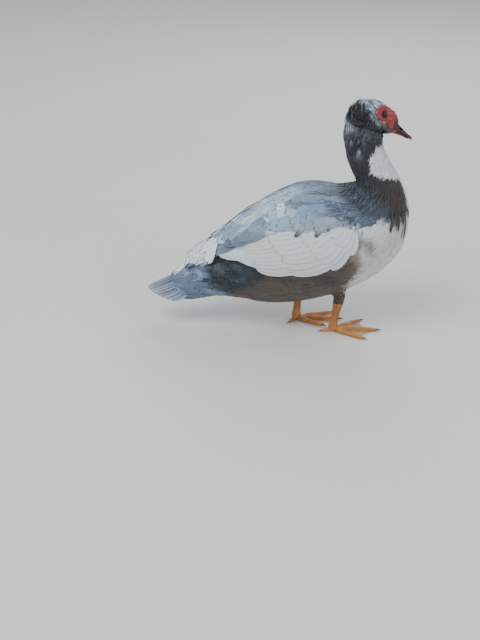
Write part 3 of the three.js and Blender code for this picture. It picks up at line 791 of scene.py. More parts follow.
class Skin:
    """The finished skin, for finding places on it."""

    def __init__(self, obj):
        self.points = points_of(obj)
        self.normals = normals_of(obj)
        polygons = [tuple(p.vertices) for p in obj.data.polygons]
        self.tree = BVHTree.FromPolygons([tuple(p) for p in self.points], polygons)
        self.quads = np.array([p if len(p) == 4 else (*p, p[2]) for p in polygons])
        a, b, c, d = (self.points[self.quads[:, k]] for k in range(4))
        self.area = 0.5 * np.linalg.norm(np.cross(c - a, d - b), axis=1)

    def nearest(self, points):
        """Places on the skin next to points, with its smooth normals there."""
        flat = points.reshape(-1, 3)
        found = [self.tree.find_nearest(p) for p in flat]
        place = np.array([f[0] for f in found])
        index = np.array([f[2] for f in found])
        corners = self.quads[index]
        gap = np.linalg.norm(self.points[corners] - place[:, None], axis=-1)
        weight = 1 / (gap + 0.05) ** 2
        normal = unit((self.normals[corners] * weight[..., None]).sum(1))
        return place.reshape(points.shape), normal.reshape(points.shape)

    def scatter(self, spacing, keep, seed):
        """Places spread evenly over the kept part of the skin, no two closer than spacing, which is a
        number or a function of points."""
        def gap_at(points):
            return spacing(points) if callable(spacing) else np.full(len(points), spacing)

        rng = np.random.default_rng(seed)
        centres = self.points[self.quads].mean(axis=1)
        weight = self.area * keep(centres) / gap_at(centres) ** 2
        count = int(TRIES * weight.sum())
        index = rng.choice(len(weight), count, p=weight / weight.sum())
        s, t = rng.random((2, count, 1))
        a, b, c, d = (self.points[self.quads[index, k]] for k in range(4))
        points = (a * (1 - s) + b * s) * (1 - t) + (d * (1 - s) + c * s) * t
        gaps = gap_at(points)
        cell = gaps.max()
        grid, kept = {}, []
        for i, (p, gap) in enumerate(zip(points.tolist(), gaps)):
            x, y, z = p
            i_x, i_y, i_z = int(x // cell), int(y // cell), int(z // cell)
            near = (q for a, b, c in NEIGHBOURS for q in grid.get((i_x + a, i_y + b, i_z + c), ()))
            limit = gap * gap
            if all((x - q[0]) ** 2 + (y - q[1]) ** 2 + (z - q[2]) ** 2 > limit for q in near):
                grid.setdefault((i_x, i_y, i_z), []).append(p)
                kept.append(i)
        return self.nearest(points[kept])


def skin_uv(points):
    """A place on an unwrap of the body: round it and along it."""
    row, angle = places(points)
    head = to_head(points)
    on_head = (points[:, 2] > NECK_TOP[1]) & (head[:, 0] > -30)
    u = 0.5 + angle / (2 * np.pi) * 0.96
    v = 0.03 + 0.7 * row / len(BODY)
    turn = np.arctan2(head[:, 1], head[:, 2])
    u = np.where(on_head, 0.5 + turn / (2 * np.pi) * 0.96, u)
    v = np.where(on_head, 0.97 - 0.2 * (50 - head[:, 0]) / 86, v)
    return np.stack([u, v], -1)


def coat(sizes, name, roots, normals, length, width, lift, template=SMALL, wander=6, seed=1, thick=0.3,
         cup=60, tip=1.0, vary=0.03):
    """Feathers that follow the skin from their roots along its lie. wander is how many degrees they stray
    from it, and tip how bright their ends are."""
    skin = made["skin"]
    rng = np.random.default_rng(seed)
    count = len(roots)
    way = lie(roots, normals)
    turn = np.radians(wander) * rng.standard_normal((count, 1))
    way = unit(way * np.cos(turn) + np.cross(normals, way) * np.sin(turn))
    length = length * sizes.feather_length * (1 + 0.12 * rng.standard_normal(count))
    spine, normal = [roots], [normals]
    for step in np.diff(template.t):
        place, facing = skin.nearest(spine[-1] + way * (length * step)[:, None])
        way = unit(way - facing * (way * facing).sum(-1, keepdims=True))
        spine.append(place)
        normal.append(facing)
    spine, normal = np.stack(spine, 1), np.stack(normal, 1)
    near, far = (markings(spine[:, k]) for k in (len(template.t) // 2, -1))
    lift = lift + 0.1 * np.minimum(lift, 2) * rng.standard_normal((count, 1))
    width = width * sizes.feather_width * (1 + 0.1 * rng.standard_normal(count))
    return feathers(name, template, spine, normal, width, lift, (near * 0.96, far * tip), skin_uv(roots),
                    thick=thick, cup=cup, vary=vary, seed=seed)


# Node materials
def add_node(tree, kind, settings=None, **inputs):
    """Adds a node, sets its properties and fills its inputs, by name or as i0, i1 by number, with values,
    sockets or nodes, whose first output is then meant."""
    node = tree.nodes.new(kind)
    for key, value in (settings or {}).items():
        setattr(node, key, value)
    for key, value in inputs.items():
        socket = node.inputs[int(key[1:]) if key[1:].isdigit() else key.replace("_", " ")]
        if isinstance(value, bpy.types.Node):
            value = value.outputs[0]
        if isinstance(value, bpy.types.NodeSocket):
            tree.links.new(value, socket)
        else:
            socket.default_value = value
    return node


def new_material(name, **finish):
    """A material with one Principled shader, its uniform values given by name."""
    material = bpy.data.materials.new(name)
    material.use_nodes = True
    tree = material.node_tree
    tree.nodes.clear()
    shader = add_node(tree, "ShaderNodeBsdfPrincipled", **finish)
    add_node(tree, "ShaderNodeOutputMaterial", Surface=shader)
    return material, tree, shader


TIMES = {"operation": "MULTIPLY"}
PLUS = {"operation": "MULTIPLY_ADD"}
DIM = {"operation": "SCALE"}
SOFT = {"interpolation_type": "SMOOTHSTEP"}
MIX = {"data_type": "RGBA"}
TINT = {"attribute_name": "tint"}


def clouded(tree, size, detail, low, high):
    """Cloudy noise of a size in millimetres, and the same as a soft shade between two values."""
    place = add_node(tree, "ShaderNodeTexCoord").outputs["Object"]
    noise = add_node(tree, "ShaderNodeTexNoise", Vector=place, Scale=1 / (size * MM), Detail=detail)
    shade = add_node(tree, "ShaderNodeMapRange", SOFT, Value=noise, From_Min=0.3, From_Max=0.7, To_Min=low,
                     To_Max=high)
    return noise, shade


def shaded_tint(tree, shade):
    """The piece's painted colours under a shade."""
    tint = add_node(tree, "ShaderNodeAttribute", TINT)
    return add_node(tree, "ShaderNodeVectorMath", DIM, i0=tint, Scale=shade).outputs[0]


def finish_material(tree, shader, colour, height=None, depth=0.0, strength=0.5, inward=False):
    """Gives a shader its colour, and its relief from a height of some depth in millimetres."""
    tree.links.new(colour, shader.inputs["Base Color"])
    if height is not None:
        bump = add_node(tree, "ShaderNodeBump", {"invert": inward}, Strength=strength, Distance=depth * MM,
                        Height=height)
        tree.links.new(bump.outputs[0], shader.inputs["Normal"])


def plumage(name, barbs, shaft=0.25, fringe=0.0, contrast=1.0):
    """Contour feather keratin: matt, faintly silky, with fine slanting barbs and a paler shaft.

    barbs counts the bands that show along one feather. Real barbs are 0.4 mm apart, too fine to show, so
    they are drawn as coarse as the locks that they clump into."""
    material, tree, shader = new_material(name, Roughness=0.62, Specular_IOR_Level=0.35, Sheen_Weight=0.12,
                                          Sheen_Roughness=0.5)
    vane_map = add_node(tree, "ShaderNodeUVMap", {"uv_map": "Vane"})
    vane = add_node(tree, "ShaderNodeSeparateXYZ", Vector=vane_map)
    side = add_node(tree, "ShaderNodeMath", {"operation": "SUBTRACT"}, i0=vane.outputs[0], i1=0.5)
    off = add_node(tree, "ShaderNodeMath", {"operation": "ABSOLUTE"}, i0=side)
    noise, mottle = clouded(tree, 6, 3.0, 1 - 0.1 * contrast, 1 + 0.08 * contrast)
    slant = add_node(tree, "ShaderNodeMath", PLUS, i0=off, i1=-0.55, i2=vane.outputs[1])
    wander = add_node(tree, "ShaderNodeMath", PLUS, i0=noise, i1=0.06, i2=slant)
    turns = add_node(tree, "ShaderNodeMath", TIMES, i0=wander, i1=2 * math.pi * barbs)
    wave = add_node(tree, "ShaderNodeMath", {"operation": "SINE"}, i0=turns)
    streak = add_node(tree, "ShaderNodeMapRange", Value=wave, From_Min=-1.0, From_Max=1.0,
                      To_Min=1 - 0.1 * contrast, To_Max=1 + 0.06 * contrast)
    colour = shaded_tint(tree, add_node(tree, "ShaderNodeMath", TIMES, i0=streak, i1=mottle))
    rachis = add_node(tree, "ShaderNodeMapRange", SOFT, Value=off, From_Min=0.07, From_Max=0.015,
                      To_Max=shaft)
    pale = (*linear("#bbbec2"), 1)
    colour = add_node(tree, "ShaderNodeMix", MIX, i0=rachis, i6=colour, i7=pale).outputs[2]
    if fringe:
        tip = add_node(tree, "ShaderNodeMapRange", SOFT, Value=vane.outputs[1], From_Min=0.86, From_Max=0.99)
        rim = add_node(tree, "ShaderNodeMapRange", SOFT, Value=off, From_Min=0.39, From_Max=0.49)
        both = add_node(tree, "ShaderNodeMath", {"operation": "MAXIMUM"}, i0=tip, i1=rim)
        share = add_node(tree, "ShaderNodeMath", TIMES, i0=both, i1=fringe)
        cold = (*linear("#bccbdb"), 1)
        colour = add_node(tree, "ShaderNodeMix", MIX, i0=share, i6=colour, i7=cold).outputs[2]
    finish_material(tree, shader, colour, wave, 0.25, 0.3 * contrast)
    return material


def finish_piece(obj, slot, material, *nodes):
    """Gives a piece its material, its body and the solids that it stands for; slot is not used."""
    obj.data.materials.clear()
    obj.data.materials.append(material)
    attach(obj, "root")
    if nodes:
        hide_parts(*nodes)


# The skin, and how deep the feathers over it are
COAT_TORSO = 1.5
COAT_NECK = 1.6
COAT_HEAD = 1.5
WING_COAT = 3.4
THIGH_COAT = 2.4
THIGH_REACH = 24  # the skin this near to a leg's line, and this far outside the body's form, is a thigh's
THIGH_STANDS_OUT = 1.0
BODY_GRID = (150, 160)  # rings, and points on each
HEAD_GRID = (60, 72)
SKIN_RELAX = 6
FOOT_RELAX = 3


def flesh_depth(row, angle):
    """How far the skin stands off the body's outer form: inside it by the coat, out where the wing lies."""
    depth = COAT_NECK + (COAT_TORSO - COAT_NECK) * smooth(3, 6, row)
    share = wing_share(row, np.degrees(np.arccos(np.clip(np.cos(angle), -1, 1))))
    inside = (share > 0) & (share < 1) & (row > WING_FRONT) & (row < WING_BACK)
    rise = np.where(inside, wing_rise(row, np.clip(share, 0, 1)) - WING_COAT + depth, 0)
    return np.maximum(rise, 0) - depth


def spots(leg, *names):
    """Named places of a leg as arrays."""
    return [np.array(leg[name], float) for name in names]


def body_rings():
    rows = np.linspace(0.05, len(BODY) - 1.6, BODY_GRID[0])
    grid_row, grid_angle = np.meshgrid(rows, around(BODY_GRID[1]), indexing="ij")
    return off_body(grid_row, grid_angle, flesh_depth(grid_row, grid_angle))


def head_rings():
    forward = np.linspace(HEAD[0, 0] + 1, 47, HEAD_GRID[0])
    grid_forward, grid_angle = np.meshgrid(forward, around(HEAD_GRID[1]), indexing="ij")
    depth = COAT_HEAD * smooth(48, 30, grid_forward)
    return head_point(grid_forward, -grid_angle, -depth)


def thigh_rings(leg):
    foot, hock = spots(leg, "foot", "hock")
    down = unit(foot - hock) * 10
    return limb(hock + down, leg["knee"], [r - THIGH_COAT for r in THIGH], 32, 1.1)


def skin_material():
    """Down and quill bases: matt, with the same markings as the feathers over it."""
    material, tree, shader = new_material("Downy skin under the feathers", Roughness=0.85,
                                          Specular_IOR_Level=0.2)
    noise, shade = clouded(tree, 2.5, 4.0, 0.75, 0.98)
    finish_material(tree, shader, shaded_tint(tree, shade), noise, 0.4)
    return material


def make_skin(sizes):
    shapes = [body_rings(), head_rings(), *(thigh_rings(leg) for leg in LEGS.values())]
    obj = fused("skin", [loft(rings) for rings in shapes], sizes.skin_voxel / MM, SKIN_RELAX)
    points = points_of(obj)
    add_tint(obj.data, np.where(near_thigh(points)[:, None], hue("umber"), markings(points)))
    finish_piece(obj, "body_plumage", skin_material(), "head", "neck", "torso", "wing_left", "wing_right",
                 "tail", "thigh_left", "thigh_right")
    made["skin"] = Skin(obj)


# Coats of small feathers, which end where the bill begins
BILL_ROOT = 43.5  # forward in the head
MASK_FLOOR = 330  # nothing below this height belongs to the face


def on_mask(points):
    """1 on the bare face and the bill's base, 0 elsewhere."""
    forward, left, up = to_head(points).T
    share = mask_share(forward, np.degrees(np.arctan2(np.abs(left), up)))
    return np.where((share < 0.97) | (forward > BILL_ROOT), 1.0, 0.0) * (points[:, 2] > MASK_FLOOR)


def in_wing(row, degrees):
    """Whether a place lies under the folded wing, a little inside its edges."""
    share = wing_share(row, degrees)
    return (share > 0.06) & (share < 0.93) & (row > WING_FRONT + 0.7) & (row < WING_BACK - 0.3)


def near_thigh(points):
    """Where the skin is a thigh's: near the line from foot to knee, and outside the body's form."""
    row, angle = places(points)
    outside = ((points - body_point(row, angle)) * body_normal(row, angle)).sum(-1) > THIGH_STANDS_OUT
    gaps = [line_distance(points, *spots(leg, "foot", "knee"))[0] for leg in LEGS.values()]
    return outside & (np.min(gaps, axis=0) < THIGH_REACH)


# Coats of the trunk: piece, first and last body section, millimetres between feathers, seed
TRUNK_COATS = [
    ("breast_feathers", (4.0, 8.2), 4.6, 41),
    ("flank_feathers", (8.2, 11.2), 4.8, 43),
    ("belly_feathers", (11.2, 14.6), 4.8, 45),
]

# Where coats end: body sections for the rump, mantle, shoulder and tail coverts, heights for the thighs
RUMP_ROWS = (14.45, 16.9)
MANTLE_END = 7.3
SHOULDER_END = 9.2
TAIL_COVERTS_START = 14.6
THIGH_ROOTS_OVER = 53.0
THIGH_TIPS_OVER = 46


def title(name):
    """A piece's name as plain words, for its material."""
    return name.replace("_", " ").capitalize()


def make_head_coat(sizes):
    """Tiny feathers round the face that grow longer over the chin and towards the neck."""
    def spacing(p):
        return 1.15 + 0.55 * smooth(20, -28, to_head(p)[:, 0])

    def keep(p):
        return smooth(-4, 1, above_neck(p)) * (1 - on_mask(p))

    roots, normals = made["skin"].scatter(spacing, keep, 11)
    forward, _, up = to_head(roots).T
    behind = smooth(40, 5, forward)
    bridge = smooth(20, 3, above_neck(roots))
    chin = smooth(-7, -15, up) * smooth(40, 28, forward)
    length = (3.8 + 5.0 * behind) * (1 + 0.9 * np.maximum(bridge, chin))
    lift = (np.array([-0.5, 0.3, 0.7, 0.9, 1.0]) * (0.7 + 0.6 * behind)[:, None]
            + np.array([0, 0.8, 1.5, 1.7, 1.4]) * bridge[:, None]
            + np.array([0, 1.3, 3.1, 4.8, 5.9]) * chin[:, None])
    obj = coat(sizes, "head_feathers", roots, normals, length, 1.7 + 1.2 * behind, lift, wander=9, seed=12,
               cup=14, thick=0.15, vary=0.1 + 0.14 * smooth(0, 10, up))
    finish_piece(obj, "head_plumage", plumage("Head contour feathers", 5, shaft=0.1))


def make_crest(sizes):
    """Long, loose feathers of the crown and nape, raised a little over the others."""
    def keep(p):
        forward, _, up = to_head(p).T
        row, angle = places(p)
        crown = (forward < 14) & (up > 3) & (up > -0.5 * forward - 2)
        nape = (np.abs(angle) < 1.25) & (row < 2.4) & (forward < -12)
        return (crown | nape) * (1 - on_mask(p))

    roots, normals = made["skin"].scatter(2.6, keep, 21)
    top = smooth(6, 16, to_head(roots)[:, 2])
    lift = np.array([-0.6, 0.8, 1.9, 3.1, 4.0]) * (1.25 - 0.85 * top)[:, None]
    obj = coat(sizes, "crown_feathers", roots, normals, 12.5, 2.8, lift, wander=12, seed=22, cup=10,
               thick=0.15, tip=1.15, vary=0.3)
    finish_piece(obj, "head_plumage", plumage("Crest feathers", 9, shaft=0.15))


def make_neck_coat(sizes):
    """Fine feathers down the neck, fuller under the chin, as far as the foot of the dark band."""
    def keep(p):
        row, degrees = on_body(p)
        return smooth(2, -2, above_neck(p)) * (row < edge(BAND_END, degrees) + 0.05)

    roots, normals = made["skin"].scatter(2.3, keep, 31)
    row, degrees = on_body(roots)
    throat = smooth(2.0, 0.6, row) * smooth(105, 140, degrees)
    lift = (np.array([-0.6, 0.7, 1.2, 1.6, 1.8]) + np.array([0, 1.3, 2.5, 3.6, 4.4]) * throat[:, None]
            + np.array([0, 1.2, 1.9, 2.4, 2.6]) * smooth(2.8, 0.8, row)[:, None])
    white = smooth(-4, 4, degrees - edge(THROAT_EDGE, row))
    obj = coat(sizes, "neck_feathers", roots, normals, 12.0 + 1.4 * row, 3.1 + 0.35 * row, lift, SLEEK,
               wander=7, seed=32, cup=40, thick=0.1, vary=0.02 + 0.2 * (1 - white) * smooth(5, 3, row))
    finish_piece(obj, "head_plumage", plumage("Neck contour feathers", 9, shaft=0.06, contrast=0.7))


def make_body_coat(sizes, name, rows, pitch, seed):
    """Feathers of one length of the trunk, outside the folded wings."""
    def keep(p):
        row, degrees = on_body(p)
        below = row > edge(BAND_END, degrees) - 0.05
        there = (row >= rows[0]) & (row < rows[1]) & below & ~in_wing(row, degrees) & ~near_thigh(p)
        return there * smooth(2, -2, above_neck(p))

    roots, normals = made["skin"].scatter(pitch, keep, seed)
    lift = np.array([-0.6, 0.6, 0.85, 0.9, 0.75])
    obj = coat(sizes, name, roots, normals, 5.2 * pitch, 2.4 * pitch, lift, SLEEK, seed=seed + 1, cup=160,
               thick=0.07, wander=3, vary=0.012)
    finish_piece(obj, "body_plumage", plumage(title(name), 12, shaft=0.03, contrast=0.4))


def make_rump(sizes):
    """Loose white feathers that puff up over the root of the tail."""
    def keep(p):
        row, degrees = on_body(p)
        return ((row > RUMP_ROWS[0]) & (row < RUMP_ROWS[1]) & (degrees < edge(RUMP_EDGE, row))) * 1.0

    roots, normals = made["skin"].scatter(2.1, keep, 51)
    row, degrees = on_body(roots)
    high = smooth(60, 30, degrees)
    layer = np.random.default_rng(53).uniform(0.93, 1, len(roots))
    puff = layer * (0.2 + 0.8 * high) * (0.35 + 0.85 * smooth(14.7, 15.9, row))
    lift = np.array([-0.8, 5.0, 7.8, 8.8, 8.8]) * puff[:, None]
    obj = coat(sizes, "rump_feathers", roots, normals, 18.0, 9.5, lift, SLEEK, seed=52, cup=40, thick=0.1)
    finish_piece(obj, "body_plumage", plumage("Rump down feathers", 12, shaft=0.03, contrast=0.5))


def make_thigh_coat(sizes):
    """Short brown feathers that hang straight down the thighs and end just below the hocks."""
    def keep(p):
        return near_thigh(p) * (p[:, 2] > THIGH_ROOTS_OVER)

    roots, normals = made["skin"].scatter(2.8, keep, 61)
    count = len(roots)
    way = np.broadcast_to([-0.12, 0.0, -1.0], (count, 3))
    way = unit(way - normals * (way * normals).sum(-1, keepdims=True))
    length = 11.0 * sizes.feather_length * (1 + 0.12 * np.random.default_rng(62).standard_normal(count))
    length = np.minimum(length, (roots[:, 2] - THIGH_TIPS_OVER) / np.maximum(-way[:, 2], 0.3))
    spine = roots[:, None] + way[:, None] * (length[:, None] * SMALL.t)[..., None]
    normal = np.repeat(normals[:, None], len(SMALL.t), 1)
    mottle = smooth(-0.3, 0.7, grain(roots, 5, 7))
    base = blend(hue("umber"), paint("#6b5d52"), mottle)
    obj = feathers("thigh_feathers", SMALL, spine, normal, 4.6, [-0.6, 0.5, 1.0, 1.3, 1.2],
                   (base, base * 1.1), skin_uv(roots), thick=0.25, cup=14, seed=63)
    finish_piece(obj, "thigh_plumage", plumage("Thigh contour feathers", 9, shaft=0.08))


def make_mantle(sizes):
    """Short, loose, dark feathers between the neck and the shoulders."""
    def keep(p):
        row, degrees = on_body(p)
        on_back = degrees < edge(CAPE_EDGE, row + 0.6)
        return ((row > edge(BAND_END, degrees) - 0.1) & (row < MANTLE_END) & on_back) * 1.0

    roots, normals = made["skin"].scatter(4.0, keep, 65)
    rear = smooth(5, 7, places(roots)[0])
    lift = np.array([-0.6, 0.8, 1.4, 1.9, 2.2])
    obj = coat(sizes, "mantle_feathers", roots, normals, 18 + 4 * rear, 5.5 + 2 * rear, lift, wander=9,
               seed=66, cup=30, thick=0.2, tip=1.1, vary=0.24)
    finish_piece(obj, "body_plumage", plumage("Mantle feathers", 14, shaft=0.12))


def cape_tiers():
    """Roots and tips of the shoulder feathers in quincunx, as section and degrees, and each one's side."""
    rng = np.random.default_rng(71)
    roots, tips, sides = [], [], []
    row, tier = CAPE_ROWS[0], 0
    while row < CAPE_ROWS[1]:
        section_length = np.linalg.norm(body_point(row + 0.1, 1.1) - body_point(row - 0.1, 1.1)) / 0.2
        degree_length = np.linalg.norm(body_point(row, 0.7) - body_point(row, 0.6)) / math.degrees(0.1)
        longer = (CAPE_LENGTH[1] - CAPE_LENGTH[0]) / section_length * float(smooth(6.4, 10.5, row))
        ahead = min(row + CAPE_LENGTH[0] / section_length + longer, CAPE_TIPS_END)
        shown = CAPE_SHOWN[1] * cape_width(row)
        count = max(2, round(edge(CAPE_EDGE, row) * degree_length / shown))
        place = (np.arange(count) + 0.3 + 0.4 * (tier % 2)) / (count - 0.2)
        for side in (-1, 1):
            root = np.stack([np.full(count, row), place * edge(CAPE_EDGE, row)], -1)
            tip = np.stack([np.full(count, ahead), place * edge(CAPE_EDGE, ahead)], -1)
            roots.append(root + rng.normal(0, [0.06, 1.2], (count, 2)))
            tips.append(tip + rng.normal(0, [0.1, 1.5], (count, 2)))
            sides.append(np.full(count, side))
        row += CAPE_SHOWN[0] * (ahead - row)
        tier += 1
    return np.concatenate(roots), np.concatenate(tips), np.concatenate(sides)


def cape_width(row):
    """Width of the shoulder feathers with roots at a section."""
    return CAPE_WIDTH[0] + (CAPE_WIDTH[1] - CAPE_WIDTH[0]) * smooth(6.3, 9.5, row)


def make_cape(sizes):
    """Scapulars: long grey feathers in scalloped rows over the back and the wings' upper half."""
    roots, tips, sides = cape_tiers()
    tips = roots + (tips - roots) * sizes.feather_length
    place = stretched(roots, tips, BROAD)
    row = place[..., 0]
    degrees = np.minimum(place[..., 1], edge(CAPE_EDGE, row) - 2)
    over = off_body(row, sides[:, None] * np.radians(degrees), np.full(row.shape, 2.0))
    spine, normal = made["skin"].nearest(over)
    on_wing = smooth(6.8, 8.2, row[:, 0]) * smooth(10, 34, degrees[:, 0])
    rear = smooth(10.2, 12.5, row[:, 0])
    lift = (np.array([-0.5, 0.5, 1.0, 1.3, 1.5, 1.6, 1.6])
            + on_wing[:, None] * np.array([0.2, 1.6, 2.3, 2.4, 2.4, 2.4, 2.4])
            + rear[:, None] * np.array([0.5, 1.5, 2.6, 3.4, 3.8, 4.0, 3.8]))
    near, far = (cape_markings(spine[:, k], row[:, k], degrees[:, k]) for k in (2, 5))
    width = cape_width(row[:, 0]) * sizes.feather_width
    obj = feathers("cape_feathers", BROAD, spine, normal, width, lift, (near * 0.95, far),
                   skin_uv(spine[:, 0]), thick=0.3, cup=45, vary=0.19, seed=72)
    finish_piece(obj, "wing_plumage", plumage("Mantle and scapular feathers", 24, shaft=0.2, fringe=0.25))


def laid(side, roots, tips, template, height):
    """Spines and normals of feathers laid over the body between two places, as section and degrees."""
    place = stretched(np.array(roots, float), np.array(tips, float), template)
    row, angle = place[..., 0], side * np.radians(place[..., 1])
    spine = off_body(row, angle, flesh_depth(row, angle) + height)
    return spine, body_normal(row, angle)


# Single feathers, as section and degrees of the root, the same of the tip, and width.
STREAKS = [
    ((5.95, 113), (7.12, 119), 6), ((6.1, 121), (6.75, 126), 6), ((6.1, 127), (6.95, 131), 5.5),
    ((6.05, 137), (6.6, 139), 6), ((6.0, 143), (7.25, 148), 5.5), ((5.8, 152), (6.3, 154), 6),
]
STREAKS_HEIGHT = 4.6  # over the flesh
DARK_TIPS = [((9.95, 57), (10.7, 64.5), 9), ((9.3, 64.5), (9.9, 71.5), 9), ((8.85, 66.5), (9.25, 70.5), 6)]
DARK_TIPS_HEIGHT = 4.6
RUMP_TUFT = [
    ((14.35, 22), (14.85, 50), 13), ((14.5, 14), (15.0, 44), 13), ((14.3, 32), (14.95, 61), 12),
    ((14.55, 30), (15.1, 56), 12), ((14.7, 8), (15.25, 36), 12),
]
RUMP_TUFT_HEIGHT = 11


def make_single_feathers(name, slot, feathers_at, height, root_colour, tip_colour, seed):
    """A few feathers that stand out from the rest, the same on both sides."""
    roots, tips, widths = zip(*feathers_at)
    parts = [laid(side, roots, tips, BROAD, height) for side in (-1, 1)]
    spine, normal = (np.concatenate([p[k] for p in parts]) for k in range(2))
    width = np.tile(widths, 2)
    colour = [np.tile(c, (len(width), 1)) for c in (root_colour, tip_colour)]
    obj = feathers(name, BROAD, spine, normal, width, [-2.0, -0.6, 0.0, 0.1, 0.1, 0.0, -0.3], colour,
                   skin_uv(spine[:, 0]), thick=0.4, cup=30, seed=seed)
    finish_piece(obj, slot, plumage(title(name), 20, shaft=0.15))


def wing_spine(side, roots, tips, template):
    """Places and normals along feathers that run between two places of the folded wing, and how deep each
    place lies under the cape."""
    place = stretched(roots, tips, template)
    row, share = place[..., 0], place[..., 1]
    upper, lower = wing_edges(row)
    degrees = upper + (lower - upper) * share
    angle = side * np.radians(degrees)
    height = wing_rise(row, np.clip(share, 0, 1)) - WING_COAT
    covered = smooth(1, 12, edge(CAPE_EDGE, row) - degrees)
    return off_body(row, angle, height), body_normal(row, angle), covered


def make_wing(side, name):
    """The folded wing's long feathers, tier over tier from the tips forward."""
    spines, normals, widths, lifts, colours = [], [], [], [], []
    rng = np.random.default_rng(81 + side)
    for tier, (count, root, tip, width, top) in enumerate(WING_TIERS):
        share = np.linspace(0, 1, count)
        roots, tips = (np.array(a) + (np.array(b) - a) * share[:, None] for a, b in (root, tip))
        roots = roots + rng.normal(0, [0.03, 0.003], (count, 2))
        tips = tips + rng.normal(0, [0.04, 0.004], (count, 2))
        spine, normal, covered = wing_spine(side, roots, tips, LONG)
        spines.append(spine)
        normals.append(normal)
        widths.append(width[0] + (width[1] - width[0]) * share)
        rise = (top + WING_ROOT_SUNK) * smooth(0, 0.5, LONG.t)
        lifts.append(-WING_ROOT_SUNK + rise - WING_UNDER_CAPE * covered)
        colours.append(blend(hue("white"), hue("bright"), np.full(count, 0.5 if tier == 0 else 0.1)))
    tiers = (spines, normals, widths, lifts, colours)
    spine, normal, width, lift, colour = (np.concatenate(parts) for parts in tiers)
    obj = feathers(name, LONG, spine, normal, width * WING_OVERLAP, lift, (colour * 0.98, colour),
                   skin_uv(spine[:, 0]), thick=0.12, cup=420, tilt=-side * 0.09, ragged=0.01, vary=0.01,
                   seed=83)
    finish_piece(obj, "wing_plumage", plumage(title(name), 45, shaft=0.04, contrast=0.35))


def make_wing_front(sizes):
    """Small coverts that round off the shoulder of each wing."""
    def keep(p):
        row, degrees = on_body(p)
        share = wing_share(row, degrees)
        outside = (degrees > edge(CAPE_EDGE, row) - 2) | (row > 7.9)
        return outside * (share > 0.25) * (share < 0.9) * (row > WING_FRONT - 0.3) * (row < SHOULDER_END)

    roots, normals = made["skin"].scatter(4.8, keep, 91)
    row, degrees = on_body(roots)
    covered = smooth(-4, 8, edge(CAPE_EDGE, row) - degrees)
    high = (0.42 + 0.58 * smooth(7.0, 8.8, row)) * (1 - 0.75 * covered)
    lift = np.array([-0.6, 1.0, 2.0, 2.7, 3.0]) * high[:, None]
    obj = coat(sizes, "shoulder_coverts", roots, normals, 19 + 2.5 * (row - WING_FRONT), 13.0, lift, seed=92,
               cup=90, thick=0.12, wander=3, vary=0.015)
    finish_piece(obj, "wing_plumage", plumage("Shoulder coverts", 16, shaft=0.03, contrast=0.35))


def make_tail():
    """Flight feathers of the tail in an arched fan, the middle pair on top."""
    half = (TAIL_FEATHERS - 1) / 2
    step = np.arange(TAIL_FEATHERS) - half
    place = step / half
    length = TAIL_LENGTH * (1 - TAIL_GRADE * place ** 2)
    reach = length[:, None] * LONG.t / TAIL_LENGTH
    spread = TAIL_SPREAD[0] + (TAIL_SPREAD[1] - TAIL_SPREAD[0]) * reach
    roof = TAIL_ROOF[0] + (TAIL_ROOF[1] - TAIL_ROOF[0]) * LONG.t
    fall = math.tan(math.radians(TAIL_DROP)) * length[:, None] * LONG.t
    spine = TAIL_AT + np.stack([-length[:, None] * LONG.t, place[:, None] * spread,
                                -TAIL_STEP * np.abs(step)[:, None] - fall - (place ** 2)[:, None] * roof], -1)
    lean = np.radians(TAIL_LEAN * place)
    normal = np.stack([np.zeros_like(lean), np.sin(lean), np.cos(lean)], -1)
    normal = np.repeat(normal[:, None], len(LONG.t), 1)
    tone = np.random.default_rng(101).random(TAIL_FEATHERS)
    base = blend(hue("tail"), hue("ash"), tone * 0.6)
    base[DARK_TAIL_FEATHERS] = paint("#34435e")
    colour = (base * 0.85, blend(base, paint("#b9c5d3"), 0.45))
    uv = np.stack([0.5 + 0.4 * place, np.full(TAIL_FEATHERS, 0.9)], -1)
    obj = feathers("tail_feathers", LONG, spine, normal, TAIL_WIDTH, 0.0, colour, uv, thick=0.7, cup=70,
                   tilt=np.sign(place) * 0.7, ragged=0.02, seed=102)
    finish_piece(obj, "tail_plumage", plumage("Tail flight feathers", 55, shaft=0.3, fringe=0.25))


def make_tail_coverts(sizes):
    """Coverts over and under the tail's root, longer towards the tip."""
    def keep(p):
        row, degrees = on_body(p)
        return ((row >= TAIL_COVERTS_START) & (degrees > edge(RUMP_EDGE, row) - 3)) * 1.0

    roots, normals = made["skin"].scatter(5.2, keep, 111)
    back = places(roots)[0] - TAIL_COVERTS_START
    lift = np.array([-0.6, 0.5, 0.8, 1.0, 1.2, 1.35, 1.4])
    obj = coat(sizes, "tail_coverts", roots, normals, 30 + 6 * back, 9 + 1.1 * back, lift, BROAD, seed=112,
               cup=40, thick=0.2, wander=4, vary=0.08)
    finish_piece(obj, "tail_plumage", plumage("Tail coverts", 18, shaft=0.08, contrast=0.8))


# The bare face: corners of the red skin round the eye, as degrees round it from straight forward and up over
# the crown, and how far the skin reaches there in millimetres.
MASK_REACH = np.array([
    [0, 36], [8, 36], [15, 36.5], [28, 34.9], [39, 29.8], [54, 23.7], [76, 18.7], [110, 15], [144, 14.2],
    [180, 17.4], [202, 17.2], [212, 15.7], [230, 12.6], [247, 11.1], [280, 10.4], [312, 11.2], [322, 14],
    [328, 21], [333, 32], [338, 40], [345, 41], [355, 38], [360, 36],
], float)
MASK_RINGS = 70
MASK_SPOKES = 220


def mask_polar(forward, degrees):
    """Distance from the eye and the turn round it, for places on the side of the head."""
    crown, _, width = head_section(forward)
    across = np.radians(EYE_ANGLE - degrees) * 0.5 * (crown + width)
    along = forward - EYE_FORWARD
    return np.hypot(along, across), np.degrees(np.arctan2(across, along)) % 360


